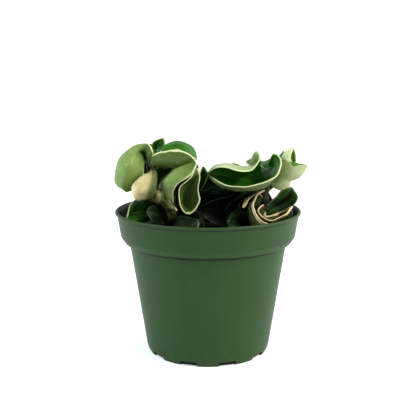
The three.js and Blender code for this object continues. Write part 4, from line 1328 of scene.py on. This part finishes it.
def leaf_finish(name, look):
    material, graph, shader, place = new_material(name)

    def fact(label):
        return graph.add("ShaderNodeAttribute", {"attribute_name": label}, {}, "Fac")

    edge, rib, reach, upper, tint, rim, deep, fresh, dim = (
        fact(label) for label in LEAF_FACTS)
    cloud = graph.noise(place, 60.0, 2.0)
    mottle = graph.noise(place, 210.0, 4.0, 0.6)
    fine = graph.noise(place, 1500.0, 3.0, 0.6)
    tone = graph.smooth(cloud * 0.55 + mottle * 0.30 + tint * 0.15, 0.32, 0.68)
    top = graph.mix(tone, *look["upper"])
    below = graph.mix(tone, *look["under"])
    sunny = graph.smooth(graph.noise(place, 34.0, 1.0), 0.52, 0.74)
    below = graph.mix(sunny * 0.30, below, (0.36, 0.39, 0.11))
    top = graph.mix(fresh * (0.7 + mottle * 0.6), top, (0.050, 0.210, 0.006))
    # Painted light and shade from the table: the underside is painted paler below nothing, and both
    # faces deep green above it.
    below = graph.mix(-deep, below, (0.50, 0.56, 0.34))
    skin = graph.mix(upper, below, top)
    skin = graph.mix(deep, skin, (0.035, 0.070, 0.008))
    slant = graph.math("SINE", (reach - rib * 0.9) * 1.35)
    side_vein = graph.smooth(slant, 0.86, 1.0) * graph.smooth(edge, 1.5, 4.0)
    midrib = graph.smooth(rib, 0.25, 1.0, 1.0, 0.0)
    skin = graph.mix(side_vein * look["veins"] + midrib * 0.13, skin, (0.30, 0.38, 0.16))
    stripe = graph.smooth(graph.noise(place, 330.0, 2.0) * 6.0 - reach * 0.35, -1.2, 1.6)
    skin = graph.mix(stripe * look["neck"], skin, (0.36, 0.45, 0.22))
    flecks = graph.smooth(graph.noise(place, 420.0, 2.0), 0.66, 0.72)
    skin = graph.mix(flecks * 0.10, skin, (0.50, 0.54, 0.36))
    wander = (mottle - 0.5) * 3.0 + (cloud - 0.5) * 2.2
    width = rim * look["border"]
    border = graph.smooth(edge + wander, width - 0.35, width + 0.40, 1.0, 0.0)
    thin = graph.smooth(edge, 0.25, 0.7, 1.0, 0.0)
    pale = graph.math("MAXIMUM", border, thin * 0.85) * graph.smooth(rim, 0.0, 0.45)
    skin = graph.mix(pale, skin, look["margin"])
    scorch = graph.smooth(graph.noise(place, 95.0, 4.0, 0.7), 0.60, 0.74)
    scorch = scorch * graph.smooth(edge, 0.5, 3.5, 1.0, 0.1) * look["dry"]
    skin = graph.mix(scorch, skin, (0.20, 0.095, 0.035))
    # Painted shade darkens a shaded leaf towards black; below nothing it paints a pale sheen.
    skin = graph.mix(dim, skin, (0.004, 0.008, 0.002))
    skin = graph.mix(-dim, skin, (0.45, 0.52, 0.40))
    height = side_vein * look["veins"] * -8.0 + mottle * 0.5 + fine * 0.10
    bump = graph.bump(height, 0.35, 0.0006)
    gloss = 0.46 - upper * 0.16 + mottle * 0.10 + scorch * 0.3 + pale * 0.08
    coat = 0.22 - dim * 0.22
    feed(graph, shader, base_color=skin, roughness=gloss + dim * 0.2, coat_weight=coat,
         normal=bump)
    fix(shader, {"Specular IOR Level": 0.20, "Coat Roughness": 0.17, "Subsurface Weight": 0.06,
                 "Subsurface Radius": (0.4, 1.0, 0.25), "Subsurface Scale": 0.0015})
    return material


finishes = {label: leaf_finish(look["slot"], look) for label, look in LOOKS.items()}
print("leaf finishes:", sorted(finishes))

# %% Making the leaves
for seed, (name, leaf) in enumerate(leaves.items()):
    look = leaf[0]
    blade = leaf_solid(name, leaf, finishes[look], seed + 1)
    settle(blade, LOOKS[look]["slot"], name)
